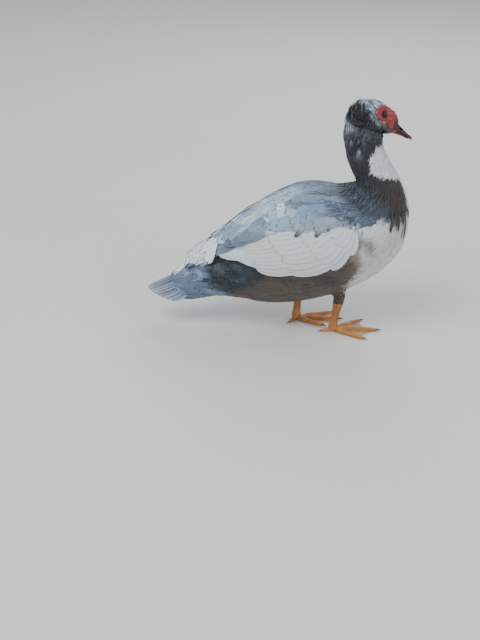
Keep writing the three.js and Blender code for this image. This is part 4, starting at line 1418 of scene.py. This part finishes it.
def mask_share(forward, degrees):
    distance, turn = mask_polar(forward, degrees)
    return distance / edge(MASK_REACH, turn)


def mask_height(forward, degrees, distance, lid, share, points):
    """Folds, bulbs and lids of the bare face over the head's outer form. lid is the distance from the eye,
    shortened forwards and back so that the opening is an ellipse, and share the one out to the rim."""
    front = smooth(10, 36, forward)
    bulbs = 0.5 + 0.5 * grain(points, 3.1, 21) + 0.35 * grain(points, 1.5, 23)
    swell = (0.4 + 2.0 * front) * np.clip(bulbs, 0, 2) * smooth(5.5, 8.0, distance)
    ridge = 0.9 * np.exp(-((share - 0.82) / 0.1) ** 2) * smooth(8, 11, distance) * (0.5 + 0.9 * bulbs)
    over_eye = smooth(-0.2, 1, np.sin(np.radians(EYE_ANGLE - degrees) * 4))
    brow = 0.8 * np.exp(-((distance - 8) / 1.2) ** 2) * over_eye
    lids = 0.9 * np.exp(-((lid - 5.0) / 0.7) ** 2)
    crease = -0.5 * np.exp(-((lid - 6.5) / 0.45) ** 2)
    socket = -5.0 * smooth(4.6, 3.1, lid)
    rim = -1.7 * smooth(0.9, 1.0, share)
    return 0.1 + swell + ridge + brow + lids + crease + socket + rim


def face_material():
    """Bare caruncled skin: moist and a little translucent, deep red, with a painted highlight on the bulbs'
    tops and painted shade in the pits between them.
    """
    blood_reach = (1.2 * MM, 0.4 * MM, 0.3 * MM)
    material, tree, shader = new_material("Bare caruncled skin", Roughness=0.5, Subsurface_Weight=0.1,
                                          Subsurface_Radius=blood_reach, Subsurface_Scale=1.0)
    place = add_node(tree, "ShaderNodeTexCoord").outputs["Object"]
    cells = add_node(tree, "ShaderNodeTexVoronoi", Vector=place, Scale=1 / (1.1 * MM))
    # Painted light: lighter in the middle of each cell and darker at its edges, which the bump sinks into
    # pits.
    pit_painted_shade = add_node(tree, "ShaderNodeMapRange", SOFT, Value=cells, From_Min=0.1, From_Max=0.7, To_Min=1.1,
                   To_Max=0.72)
    _, blush = clouded(tree, 4, 3.0, 0.8, 1.15)
    shade = add_node(tree, "ShaderNodeMath", TIMES, i0=pit_painted_shade, i1=blush)
    finish_material(tree, shader, shaded_tint(tree, shade), cells, 0.35, inward=True)
    return material


def mask_mesh(side):
    """Polar grid round one eye, out to the edge of the bare skin, and its colours."""
    share = np.linspace(0.02, 1, MASK_RINGS) ** 0.9
    turn = np.linspace(0, 360, MASK_SPOKES, endpoint=False)
    grid_share, grid_turn = np.meshgrid(share, turn, indexing="ij")
    distance = grid_share * edge(MASK_REACH, grid_turn)
    ahead, up = np.cos(np.radians(grid_turn)), np.sin(np.radians(grid_turn))
    forward = EYE_FORWARD + distance * ahead
    crown, _, width = head_section(forward)
    degrees = np.maximum(EYE_ANGLE - np.degrees(distance * up / (0.5 * (crown + width))), 0)
    flat = head_point(forward, side * np.radians(degrees))
    lid = distance * np.hypot(ahead / 1.25, up)
    height = mask_height(forward, degrees, distance, lid, grid_share, flat)
    points = head_point(forward, side * np.radians(degrees), height)
    red = mask_colour(forward, degrees, distance, lid, height, flat)
    faces = ring_faces(MASK_RINGS, MASK_SPOKES)
    return points.reshape(-1, 3), faces if side > 0 else faces[:, ::-1], red.reshape(-1, 3)


def mask_colour(forward, degrees, distance, lid, height, points):
    """Red skin, darker at the lids and by the bill and paler in spots, with painted shade in its folds and a
    painted highlight on its tops.
    """
    face = hue("face")
    off_lids = smooth(9, 12, distance)
    red = blend(face, face * 0.72, smooth(26, 44, forward))
    # Painted shade: darker where the face lies low, in its folds.
    red = blend(red, face * 0.6, 0.6 * smooth(0.7, 0.2, height) * off_lids)
    # Painted highlight: lighter where the face stands high, on the tops of its bulbs.
    red = blend(red, face * 1.4, 0.8 * smooth(0.8, 2.0, height))
    red = blend(red, paint("#e0a19b"), 0.6 * smooth(0.3, 0.75, grain(points, 2.4, 27)) * off_lids)
    red = blend(red, hue("bill") * 1.2, 0.4 * smooth(6.2, 4.7, lid))
    by_bill = smooth(34.5, 38.5, forward + 1.2 * grain(points, 3, 26))
    dark = by_bill * smooth(110, 94, degrees) * smooth(40, 54, degrees)
    return blend(red, hue("bill"), 0.9 * dark)


def make_face():
    parts = [mask_mesh(side) for side in (1, -1)]
    points, faces = joined([(p, f) for p, f, _ in parts])
    obj = new_object("face_mask", points, faces[:, ::-1], tint=np.concatenate([c for _, _, c in parts]))
    finish_piece(obj, "head_plumage", face_material())


def eye_material():
    """Wet cornea over a dark brown iris: the gloss is the tear film's."""
    material, tree, shader = new_material("Wet eye", Roughness=0.06, IOR=1.376, Coat_Weight=0.3,
                                          Coat_Roughness=0.03)
    _, shade = clouded(tree, 0.5, 2.0, 0.7, 1.2)
    finish_material(tree, shader, shaded_tint(tree, shade))
    return material


def make_eyes(sizes):
    """Eyeballs with a bulging cornea, a black pupil and a dark rim round the iris."""
    material = eye_material()
    rings, sides = 40, 48
    polar, turn = np.linspace(0, np.pi, rings), around(sides)
    cornea = 1 + CORNEA_BULGE * smooth(0.7, 0.35, polar)
    iris = blend(paint("#080505"), hue("iris"), smooth(*PUPIL_EDGE, polar))
    iris = blend(iris, paint("#190b0a"), smooth(*IRIS_EDGE, polar))
    for side, name in ((1, "left"), (-1, "right")):
        out = unit(HEAD_TURN @ np.array([EYE_LOOK[0], side, EYE_LOOK[1]]))
        a = unit(np.cross(out, [0, 0, 1]))
        b = np.cross(out, a)
        ring = (np.sin(polar)[:, None, None] * (np.cos(turn)[:, None] * a + np.sin(turn)[:, None] * b)
                + np.cos(polar)[:, None, None] * out)
        points = eye_centre(side) + sizes.eye_radius / MM * EYE_FIT * cornea[:, None, None] * ring
        obj = new_object(f"eyeball_{name}", points.reshape(-1, 3), ring_faces(rings, sides)[:, ::-1],
                         tint=np.repeat(iris[:, None], sides, 1).reshape(-1, 3))
        finish_piece(obj, "eye", material, f"eye_{name}")


def bill_material():
    """Leathery bill skin over keratin: satin, red at the root and dark towards the nail."""
    material, tree, shader = new_material("Bill skin and keratin", Roughness=0.42, IOR=1.54)
    noise, shade = clouded(tree, 2.2, 4.0, 0.72, 1.2)
    finish_material(tree, shader, shaded_tint(tree, shade), noise, 0.3, 0.25)
    return material


def bill_colour(forward, up_share):
    """Red along the cutting edge and at the root, dark maroon over the top with a painted highlight along the
    culmen, horn-brown at the nail.
    """
    top = smooth(-0.25, 0.45, up_share) * (0.25 + 0.75 * smooth(36, 42, forward))
    colour = blend(hue("face") * 0.6, hue("bill"), np.maximum(top, 0.85 * smooth(46, 60, forward)))
    # Painted highlight: a pale band along the culmen, where the bill's gloss would catch the light.
    ridge = smooth(0.9, 0.98, up_share) * smooth(50, 56, forward) * smooth(80, 72, forward)
    colour = blend(colour, paint("#8d6f6c"), 0.6 * ridge)
    return blend(colour, paint("#4a3630"), 0.8 * smooth(82, 85, forward))


def bill_piece(name, material, rings, colour, node):
    """A closed half of the bill over rings in the head's frame, with a colour for each of their points."""
    points, faces = loft(in_head(*rings))
    first, last = colour[:1], colour[-1:]
    tint = np.concatenate([first, first, colour, last, last]).reshape(-1, 3)
    finish_piece(new_object(name, points, faces, tint=tint), "bill", material, node)


def make_upper_bill(material):
    """Upper half, with nostrils, lamellae along the cutting edge and the nail at the tip."""
    rows = np.linspace(0, len(BILL) - 1.0, UPPER_BILL_RINGS)
    forward, top, cut, width = np.moveaxis(between(BILL, rows)[:, None], -1, 0)
    at_tip = smooth(*BILL_TIP, forward)
    top, cut = top + 0.8 * at_tip, cut + 2.4 * at_tip
    a = around(BILL_SIDES)[None]
    rise = np.maximum(np.cos(a), 0)
    up = np.where(np.cos(a) > 0, (top - cut - 1) * np.cos(a), np.cos(a))
    out = width * np.sign(np.sin(a)) * np.abs(np.sin(a)) ** 0.8
    hole_up = (cut + 1 + up - NOSTRIL[1]) / NOSTRIL_SIZE[1]
    hole = ((forward - NOSTRIL[0]) / NOSTRIL_SIZE[0]) ** 2 + hole_up ** 2
    rim = 0.5 * np.sign(out) * np.exp(-((hole - 1.6) / 0.5) ** 2)
    out = out * (1 - 0.55 * smooth(1.15, 0.55, hole)) + rim
    nail = smooth(*NAIL_FROM, forward) * smooth(0.35, 0.6, rise) * NAIL_HEIGHT
    comb = np.exp(-((np.cos(a) - 0.12) / 0.12) ** 2) * smooth(*LAMELLAE_FROM, forward)
    lamella = 0.16 * np.sin(forward * 2 * np.pi / LAMELLA_PITCH) * comb
    rings = forward + 0 * a, out * (1 + lamella / 10), cut + 1 + up + nail
    # Painted shade: near-black inside the nostrils, which are only dents and not openings.
    colour = blend(bill_colour(forward + 0 * a, rise), paint("#120808"), smooth(1.2, 0.7, hole))
    bill_piece("bill_above", material, rings, colour, "bill_upper")


def make_lower_bill(material):
    """Lower half: a shallow trough that tapers to the tip."""
    a = around(BILL_SIDES)[None]
    t = np.linspace(0, 1, LOWER_BILL_RINGS)[:, None]
    start = BILL[0, 0]
    forward = start + (LOWER_BILL_END - start) * t
    table = between(BILL, np.minimum((forward[:, 0] - start) / 9.3, 5))[:, None]
    depth = np.maximum(0.4, LOWER_BILL_DEPTH * (1 - 0.8 * t))
    half = table[..., 3] * 0.9 * np.sqrt(1.06 - t ** 5)
    up = np.where(np.cos(a) > 0, np.cos(a), depth * np.cos(a))
    rings = forward + 0 * a, half * np.sin(a), table[..., 2] - 0.6 + up
    bill_piece("bill_below", material, rings, bill_colour(forward + 0 * a, np.zeros_like(up)), "bill_lower")


def make_bill():
    material = bill_material()
    make_upper_bill(material)
    make_lower_bill(material)


# Legs and feet
def toe_way(leg, toe):
    """The level direction in which a toe points."""
    heading = math.radians(leg["side"] * toe[1])
    return np.array([math.cos(heading), math.sin(heading), 0])


def toe_line(leg, toe):
    """The two ends of a toe's middle line."""
    start = np.array([leg["foot"][0], leg["foot"][1], TOE_RISE], float)
    end = start + toe_way(leg, toe) * toe[0]
    end[2] = toe[3]
    return start, end


WEB_GRID = (44, 40)  # rows outwards and columns from toe to toe
WEB_HEIGHT = 3.4  # of its top at the toes
WEB_SAG = 1.9
WEB_THICKNESS = 1.9
WEB_PLEAT = 0.35
WEB_SHORT = 4  # how far it ends before the toes' tips


def web_mesh(leg, first, second):
    """A thin closed sheet between two toes, its free edge hollow and its middle sagging to the floor."""
    rows, columns = WEB_GRID
    base = np.array([leg["foot"][0], leg["foot"][1], 0.0])
    a, b = (toe_way(leg, toe) * (toe[0] - WEB_SHORT) for toe in (first, second))
    out = np.linspace(0, 1, rows)[:, None, None]
    turn = np.linspace(0, 1, columns)[None, :, None]
    span = 1 - 4 * (turn - 0.5) ** 2
    reach = (a * (1 - turn) + b * turn) * (1 - 0.1 * span)
    top = base + reach * out
    under = top.copy()
    sag = (span * smooth(0.1, 0.6, out))[..., 0]
    pleat = WEB_PLEAT * np.cos(turn[..., 0] * 6 * math.pi) * span[..., 0] * out[..., 0]
    height = WEB_HEIGHT - WEB_SAG * sag + pleat
    top[..., 2] = height
    under[..., 2] = np.maximum(height - WEB_THICKNESS, 0.2)
    face = ring_faces(rows, columns, closed=False)
    under_at = rows * columns
    rim = np.concatenate([np.arange(columns - 1), np.arange(rows - 1) * columns + columns - 1,
                          (rows - 1) * columns + np.arange(columns - 1, 0, -1),
                          np.arange(rows - 1, 0, -1) * columns])
    after = np.roll(rim, -1)
    walls = np.stack([after, rim, rim + under_at, after + under_at], -1)
    points = np.concatenate([top, under]).reshape(-1, 3)
    return points, np.concatenate([face, face[:, ::-1] + under_at, walls])


def leg_material():
    """Scaled leg skin: small horny plates, satin, with darker seams between them."""
    material, tree, shader = new_material("Scaled leg skin", Roughness=0.48, IOR=1.54)
    place = add_node(tree, "ShaderNodeTexCoord").outputs["Object"]
    cells = add_node(tree, "ShaderNodeTexVoronoi", {"feature": "DISTANCE_TO_EDGE"}, Vector=place,
                     Scale=1 / (1.5 * MM))
    seam = add_node(tree, "ShaderNodeMapRange", SOFT, Value=cells, From_Min=0.0, From_Max=0.16, To_Min=0.7,
                    To_Max=1.04)
    _, wear = clouded(tree, 7, 4.0, 0.78, 1.15)
    shade = add_node(tree, "ShaderNodeMath", TIMES, i0=seam, i1=wear)
    finish_material(tree, shader, shaded_tint(tree, shade), seam, 0.5)
    return material


def make_legs(sizes):
    """Each shank, ankle, foot and web as one seamless skin with its plates."""
    material = leg_material()
    for name, leg in LEGS.items():
        foot, hock = spots(leg, "foot", "hock")
        meshes = [loft(limb(foot, hock, [SHANK_RADIUS * s * SHANK_SCALE for s in SHANK], 32))]
        polar = np.linspace(0.05, np.pi - 0.05, 16)[:, None]
        turn = around(24)[None]
        ball = np.stack(np.broadcast_arrays(np.sin(polar) * np.cos(turn), np.sin(polar) * np.sin(turn),
                                            -np.cos(polar)), -1)
        meshes.append(loft(ball * ANKLE_RADIUS + [foot[0], foot[1], ANKLE_HEIGHT]))
        for toe in leg["toes"].values():
            start, end = toe_line(leg, toe)
            meshes.append(loft(limb(start, end, [k * toe[2] for k in KNUCKLES], 20, 0.9)))
        toes = leg["toes"]
        meshes.append(web_mesh(leg, toes["inner"], toes["middle"]))
        meshes.append(web_mesh(leg, toes["middle"], toes["outer"]))
        meshes = [(p, outward(p, f)) for p, f in meshes]
        obj = fused(f"leg_{name}", meshes, sizes.foot_voxel / MM, FOOT_RELAX)
        scale_plates(obj, leg)
        finish_piece(obj, "leg_skin", material, f"shank_{name}", f"foot_{name}")


def outward(points, faces):
    """The faces of a closed mesh, turned so that they face out."""
    a, b, c, d = (points[faces[:, k]] for k in range(4))
    volume = (a * np.cross(b, c)).sum() + (a * np.cross(c, d)).sum()
    return faces if volume > 0 else faces[:, ::-1]


def scale_plates(obj, leg):
    """Raises cross plates on the shank's front and on the toes, keeps the sole flat and colours the skin."""
    points, normals = points_of(obj), normals_of(obj)
    toe_gap = np.full(len(points), np.inf)
    for toe in leg["toes"].values():
        start, end = toe_line(leg, toe)
        gap, t = line_distance(points, start, end)
        plate = np.abs(np.sin(np.pi * t * toe[0] / TOE_PLATE)) ** 0.5
        near = smooth(6.5, 4.5, gap) * smooth(0.2, 0.7, normals[:, 2])
        points += normals * (TOE_PLATE_HEIGHT * (plate - 0.6) * near)[:, None]
        toe_gap = np.minimum(toe_gap, gap)
    gap, _ = line_distance(points, *spots(leg, "foot", "hock"))
    plate = np.abs(np.sin(np.pi * points[:, 2] / SHANK_PLATE)) ** 0.5
    near = smooth(11, 8, gap) * smooth(0.1, 0.6, normals[:, 0]) * smooth(10, 16, points[:, 2])
    points += normals * (SHANK_PLATE_HEIGHT * (plate - 0.6) * near)[:, None]
    points[:, 2] = np.maximum(points[:, 2], 0.05)
    obj.data.vertices.foreach_set("co", ((points + SHIFT) * MM).astype(np.float32).ravel())
    obj.data.update()
    orange = hue("leg") * (1 - 0.25 * smooth(-0.3, 0.7, grain(points, 9, 31)))[:, None]
    web = hue("web") * (1 - 0.15 * smooth(-0.2, 0.8, grain(points, 12, 33)))[:, None]
    colour = blend(orange, web, smooth(4.2, 7.5, toe_gap) * smooth(12, 7, points[:, 2]))
    colour = blend(colour, paint("#9c6331"), 0.6 * smooth(14, 34, points[:, 2]))
    add_tint(obj.data, colour)


def claw_material():
    """Horn: dark, smooth and slightly glossy, with faint paler clouds."""
    material, tree, shader = new_material("Claw horn", Roughness=0.35, IOR=1.54)
    place = add_node(tree, "ShaderNodeTexCoord").outputs["Object"]
    noise = add_node(tree, "ShaderNodeTexNoise", Vector=place, Scale=1 / (1.5 * MM), Detail=3.0)
    share = add_node(tree, "ShaderNodeMapRange", SOFT, Value=noise, From_Min=0.35, From_Max=0.7)
    colour = add_node(tree, "ShaderNodeMix", MIX, i0=share, i6=(*hue("claw"), 1), i7=(*linear("#7b5a42"), 1))
    finish_material(tree, shader, colour.outputs[2])
    return material


def make_claws():
    """Curved claws, one on each toe, that narrow to a small blunt tip."""
    material = claw_material()
    for name, leg in LEGS.items():
        meshes = []
        for toe in leg["toes"].values():
            way = toe_way(leg, toe)
            across = np.array([-way[1], way[0], 0])
            start = np.array([leg["foot"][0], leg["foot"][1], toe[3]]) + way * (toe[0] - CLAW_SUNK)
            thick = min(CLAW_ROOT_RADIUS, toe[3] - 0.4)
            t = np.linspace(0, 1, 14)[:, None]
            centre = start + way * (CLAW_LENGTH + 1.7) * t
            centre[:, 2:] += CLAW_ARCH * np.sin(np.pi * t) - CLAW_DROP * t
            radius = thick + (CLAW_TIP_RADIUS - thick) * t ** 1.3
            a = around(16)[None, :, None]
            oval = np.cos(a) * across * 0.85 + np.sin(a) * np.array([0, 0, 1])
            rings = centre[:, None] + radius[..., None] * oval
            rings[..., 2] = np.maximum(rings[..., 2], 0.1)
            points, faces = loft(rings)
            meshes.append((points, outward(points, faces)))
        obj = new_object(f"claws_{name}", *joined(meshes))
        finish_piece(obj, "claw", material, *[f"claw_{name}_{toe}" for toe in leg["toes"]])


# Floor, light and camera
CAMERA_AT = (34.4, -1919.2, 862.1)  # design millimetres
CAMERA_AZIMUTH = 5
CAMERA_PITCH = 24
CAMERA_LENS = 67.5
CAMERA_SENSOR = 36  # millimetres high
FLOOR_HALF = 6000
LIGHTS_AIM = (0, 0, 0.2)
LIGHTS = {  # place and size in metres, share of the key light's power, colour
    "key": ((-1.2, -1.6, 2.6), 2.0, 1.0, "#fffcf9"),
    "fill": ((2.2, -1.4, 1.4), 2.0, 0.35, "#f7faff"),
    "back": ((0.4, 2.2, 2.0), 1.6, 0.45, "#f9fbff"),
}


def stage_material(stage):
    """Matt paper: even and pale, with faint cloudiness."""
    material, tree, shader = new_material("Matt paper sweep", Roughness=0.9)
    place = add_node(tree, "ShaderNodeTexCoord").outputs["Object"]
    noise = add_node(tree, "ShaderNodeTexNoise", Vector=place, Scale=3.0, Detail=2.0)
    low = tuple(0.97 * c for c in stage.floor_colour)
    colour = add_node(tree, "ShaderNodeMix", MIX, i0=noise, i6=(*low, 1), i7=(*stage.floor_colour, 1))
    finish_material(tree, shader, colour.outputs[2])
    return material


def area_light(name, place, size, power, colour):
    """A round soft light that faces the bird."""
    data = bpy.data.lights.new(name, "AREA")
    data.shape = "DISK"
    data.size = size
    data.energy = power
    data.color = colour
    obj = bpy.data.objects.new(name, data)
    obj.location = place
    obj.rotation_euler = (Vector(LIGHTS_AIM) - Vector(place)).to_track_quat("-Z", "Y").to_euler()
    bpy.context.scene.collection.objects.link(obj)


def make_floor(stage):
    signs = [(-1, -1), (1, -1), (1, 1), (-1, 1)]
    corners = [(x * FLOOR_HALF, y * FLOOR_HALF, 0) for x, y in signs]
    floor = new_object("floor", corners, [(0, 1, 2, 3)], flat=True)
    floor.data.materials.append(stage_material(stage))


def make_lights(stage):
    """Three soft lights and a pale sky."""
    for name, (place, size, share, colour) in LIGHTS.items():
        area_light(name, place, size, stage.key_power * share, linear(colour))
    world = bpy.data.worlds.new("Soft studio")
    world.use_nodes = True
    background = world.node_tree.nodes["Background"]
    background.inputs["Color"].default_value = (*linear("#eef1f7"), 1)
    background.inputs["Strength"].default_value = stage.sky
    bpy.context.scene.world = world


def make_camera():
    """The photo's view: from the bird's right and above."""
    data = bpy.data.cameras.new("camera")
    data.lens = CAMERA_LENS
    data.sensor_fit = "VERTICAL"
    data.sensor_height = CAMERA_SENSOR
    camera = bpy.data.objects.new("camera", data)
    camera.location = Vector((np.array(CAMERA_AT) + SHIFT) * MM)
    camera.rotation_euler = (math.radians(90 - CAMERA_PITCH), 0, math.radians(CAMERA_AZIMUTH))
    bpy.context.scene.collection.objects.link(camera)
    bpy.context.scene.camera = camera


# The add-on: settings, one operator for each group of pieces, and a panel
class DuckSizes(bpy.types.PropertyGroup):
    """Sizes of the pieces."""

    skin_voxel: bpy.props.FloatProperty(
        name="Skin grain", description="Edge of the cells that fuse the skin", default=2.4 * MM, min=1 * MM,
        subtype="DISTANCE", unit="LENGTH")
    foot_voxel: bpy.props.FloatProperty(
        name="Foot grain", description="Edge of the cells that fuse the legs", default=0.8 * MM, min=0.4 * MM,
        subtype="DISTANCE", unit="LENGTH")
    eye_radius: bpy.props.FloatProperty(
        name="Eye radius", description="Radius of the eyeball", default=EYE_RADIUS * MM, min=4 * MM,
        max=8 * MM, subtype="DISTANCE", unit="LENGTH")
    feather_length: bpy.props.FloatProperty(
        name="Feather length", description="Length of the contour feathers as a share of their natural one",
        default=1.0, min=0.6, max=1.5, subtype="FACTOR")
    feather_width: bpy.props.FloatProperty(
        name="Feather width", description="Width of the contour feathers as a share of their natural one",
        default=1.0, min=0.6, max=1.5, subtype="FACTOR")


def colour_setting(name, description, hex_colour):
    return bpy.props.FloatVectorProperty(name=name, description=description, default=linear(hex_colour),
                                         size=3, subtype="COLOR", min=0, max=1)


class DuckColours(bpy.types.PropertyGroup):
    """Colours of the plumage and the bare parts."""

    white: colour_setting("White", "Wings, breast and throat", "#cfd2d2")
    bright: colour_setting("Bright white", "Rump and tuft", "#eaf6fd")
    charcoal: colour_setting("Charcoal", "Cheeks and neck", "#262a2f")
    umber: colour_setting("Umber", "Band round the foot of the neck", "#342b29")
    slate: colour_setting("Slate", "Mantle behind the neck", "#374353")
    steel: colour_setting("Steel blue", "Middle of the cape", "#4a6180")
    powder: colour_setting("Powder blue", "Rear of the cape", "#9cbede")
    mauve: colour_setting("Mauve grey", "Lowest feathers of the cape", "#969aa6")
    dusk: colour_setting("Dusk grey", "Cape's lower edge at the rear", "#535e73")
    belly: colour_setting("Belly brown", "Belly and thighs", "#524a43")
    smudge: colour_setting("Smudge", "Brown-grey smudge on the flank", "#675f58")
    vent: colour_setting("Vent", "Behind the legs, under the tail", "#1f2933")
    tail: colour_setting("Tail blue", "Tail and its coverts", "#5f7590")
    ash: colour_setting("Ash", "Paler streaks of the tail", "#829ab6")
    face: colour_setting("Face red", "Bare skin round the eyes", "#9b3539")
    bill: colour_setting("Bill maroon", "Top of the bill", "#30171a")
    iris: colour_setting("Iris", "Brown of the eye", "#2b1311")
    leg: colour_setting("Leg orange", "Shanks and toes", "#cb843e")
    web: colour_setting("Web", "Skin between the toes", "#b8926f")
    claw: colour_setting("Claw", "Dark horn of the claws", "#3d2a20")


class DuckStage(bpy.types.PropertyGroup):
    """Floor and light."""

    floor_colour: colour_setting("Floor", "Colour of the paper floor", "#dfdedb")
    key_power: bpy.props.FloatProperty(
        name="Key light", description="Power of the main soft light", default=58.0, min=0, subtype="POWER",
        unit="POWER")
    sky: bpy.props.FloatProperty(
        name="Sky", description="Strength of the light from all round", default=0.75, min=0)


class DUCK_OT_skin(bpy.types.Operator):
    """Fuses the flesh of head, neck, trunk, wings and thighs into one skin"""
    bl_idname = "duck.skin"
    bl_label = "Skin"
    bl_options = {"REGISTER", "UNDO"}

    def execute(self, context):
        make_skin(context.scene.duck_sizes)
        return {"FINISHED"}


class DUCK_OT_head_feathers(bpy.types.Operator):
    """Lays the small feathers of head, crown and neck"""
    bl_idname = "duck.head_feathers"
    bl_label = "Head and neck feathers"
    bl_options = {"REGISTER", "UNDO"}

    def execute(self, context):
        sizes = context.scene.duck_sizes
        make_head_coat(sizes)
        make_crest(sizes)
        make_neck_coat(sizes)
        return {"FINISHED"}


class DUCK_OT_body_feathers(bpy.types.Operator):
    """Lays the feathers of breast, flanks, belly, rump and thighs"""
    bl_idname = "duck.body_feathers"
    bl_label = "Body feathers"
    bl_options = {"REGISTER", "UNDO"}

    def execute(self, context):
        sizes = context.scene.duck_sizes
        for name, rows, pitch, seed in TRUNK_COATS:
            make_body_coat(sizes, name, rows, pitch, seed)
        make_thigh_coat(sizes)
        make_rump(sizes)
        make_single_feathers("breast_streaks", "body_plumage", STREAKS, STREAKS_HEIGHT, hue("umber"),
                             hue("charcoal"), 47)
        make_single_feathers("rump_tuft", "body_plumage", RUMP_TUFT, RUMP_TUFT_HEIGHT, hue("bright"),
                             hue("bright"), 77)
        return {"FINISHED"}


class DUCK_OT_cape(bpy.types.Operator):
    """Lays the grey feathers of mantle and shoulders"""
    bl_idname = "duck.cape"
    bl_label = "Cape"
    bl_options = {"REGISTER", "UNDO"}

    def execute(self, context):
        sizes = context.scene.duck_sizes
        make_mantle(sizes)
        make_cape(sizes)
        make_single_feathers("dark_tipped_scapulars", "wing_plumage", DARK_TIPS, DARK_TIPS_HEIGHT,
                             hue("mauve"), paint("#3a3d44"), 75)
        return {"FINISHED"}


class DUCK_OT_wings(bpy.types.Operator):
    """Lays both folded wings, tier by tier"""
    bl_idname = "duck.wings"
    bl_label = "Wings"
    bl_options = {"REGISTER", "UNDO"}

    def execute(self, context):
        make_wing(1, "left_wing_feathers")
        make_wing(-1, "right_wing_feathers")
        make_wing_front(context.scene.duck_sizes)
        return {"FINISHED"}


class DUCK_OT_tail(bpy.types.Operator):
    """Spreads the tail and lays the coverts at its root"""
    bl_idname = "duck.tail"
    bl_label = "Tail"
    bl_options = {"REGISTER", "UNDO"}

    def execute(self, context):
        make_tail()
        make_tail_coverts(context.scene.duck_sizes)
        return {"FINISHED"}


class DUCK_OT_face(bpy.types.Operator):
    """Models the bare red face with its folds and lids"""
    bl_idname = "duck.face"
    bl_label = "Face"
    bl_options = {"REGISTER", "UNDO"}

    def execute(self, context):
        make_face()
        return {"FINISHED"}


class DUCK_OT_eyes(bpy.types.Operator):
    """Sets the eyeballs in their sockets"""
    bl_idname = "duck.eyes"
    bl_label = "Eyes"
    bl_options = {"REGISTER", "UNDO"}

    def execute(self, context):
        make_eyes(context.scene.duck_sizes)
        return {"FINISHED"}


class DUCK_OT_bill(bpy.types.Operator):
    """Shapes both halves of the bill"""
    bl_idname = "duck.bill"
    bl_label = "Bill"
    bl_options = {"REGISTER", "UNDO"}

    def execute(self, context):
        make_bill()
        return {"FINISHED"}


class DUCK_OT_legs(bpy.types.Operator):
    """Fuses shanks, toes and webs and raises their scales"""
    bl_idname = "duck.legs"
    bl_label = "Legs and feet"
    bl_options = {"REGISTER", "UNDO"}

    def execute(self, context):
        make_legs(context.scene.duck_sizes)
        return {"FINISHED"}


class DUCK_OT_claws(bpy.types.Operator):
    """Sets a claw on every toe"""
    bl_idname = "duck.claws"
    bl_label = "Claws"
    bl_options = {"REGISTER", "UNDO"}

    def execute(self, context):
        make_claws()
        return {"FINISHED"}


class DUCK_OT_stage(bpy.types.Operator):
    """Sets up the pale floor, the soft light and the camera"""
    bl_idname = "duck.stage"
    bl_label = "Floor, light and camera"
    bl_options = {"REGISTER", "UNDO"}

    def execute(self, context):
        stage = context.scene.duck_stage
        make_floor(stage)
        make_lights(stage)
        make_camera()
        return {"FINISHED"}


STEPS = (DUCK_OT_skin, DUCK_OT_head_feathers, DUCK_OT_body_feathers, DUCK_OT_cape, DUCK_OT_wings,
         DUCK_OT_tail, DUCK_OT_face, DUCK_OT_eyes, DUCK_OT_bill, DUCK_OT_legs, DUCK_OT_claws, DUCK_OT_stage)


class DUCK_PT_panel(bpy.types.Panel):
    """Lists the settings and the steps that build the duck"""
    bl_idname = "DUCK_PT_panel"
    bl_label = "Muscovy duck"
    bl_space_type = "VIEW_3D"
    bl_region_type = "UI"
    bl_category = "Duck"

    def draw(self, context):
        scene = context.scene
        for settings in (scene.duck_sizes, scene.duck_colours, scene.duck_stage):
            for name in settings.__annotations__:
                self.layout.prop(settings, name)
        for step in STEPS:
            self.layout.operator(step.bl_idname)


CLASSES = (DuckSizes, DuckColours, DuckStage, *STEPS, DUCK_PT_panel)


def register():
    for cls in CLASSES:
        bpy.utils.register_class(cls)
    bpy.types.Scene.duck_sizes = bpy.props.PointerProperty(type=DuckSizes)
    bpy.types.Scene.duck_colours = bpy.props.PointerProperty(type=DuckColours)
    bpy.types.Scene.duck_stage = bpy.props.PointerProperty(type=DuckStage)


def unregister():
    del bpy.types.Scene.duck_sizes
    del bpy.types.Scene.duck_colours
    del bpy.types.Scene.duck_stage
    for cls in reversed(CLASSES):
        bpy.utils.unregister_class(cls)


def main():
    register()
    for step in STEPS:
        group, name = step.bl_idname.split(".")
        getattr(getattr(bpy.ops, group), name)()


if __name__ == "__main__":
    main()
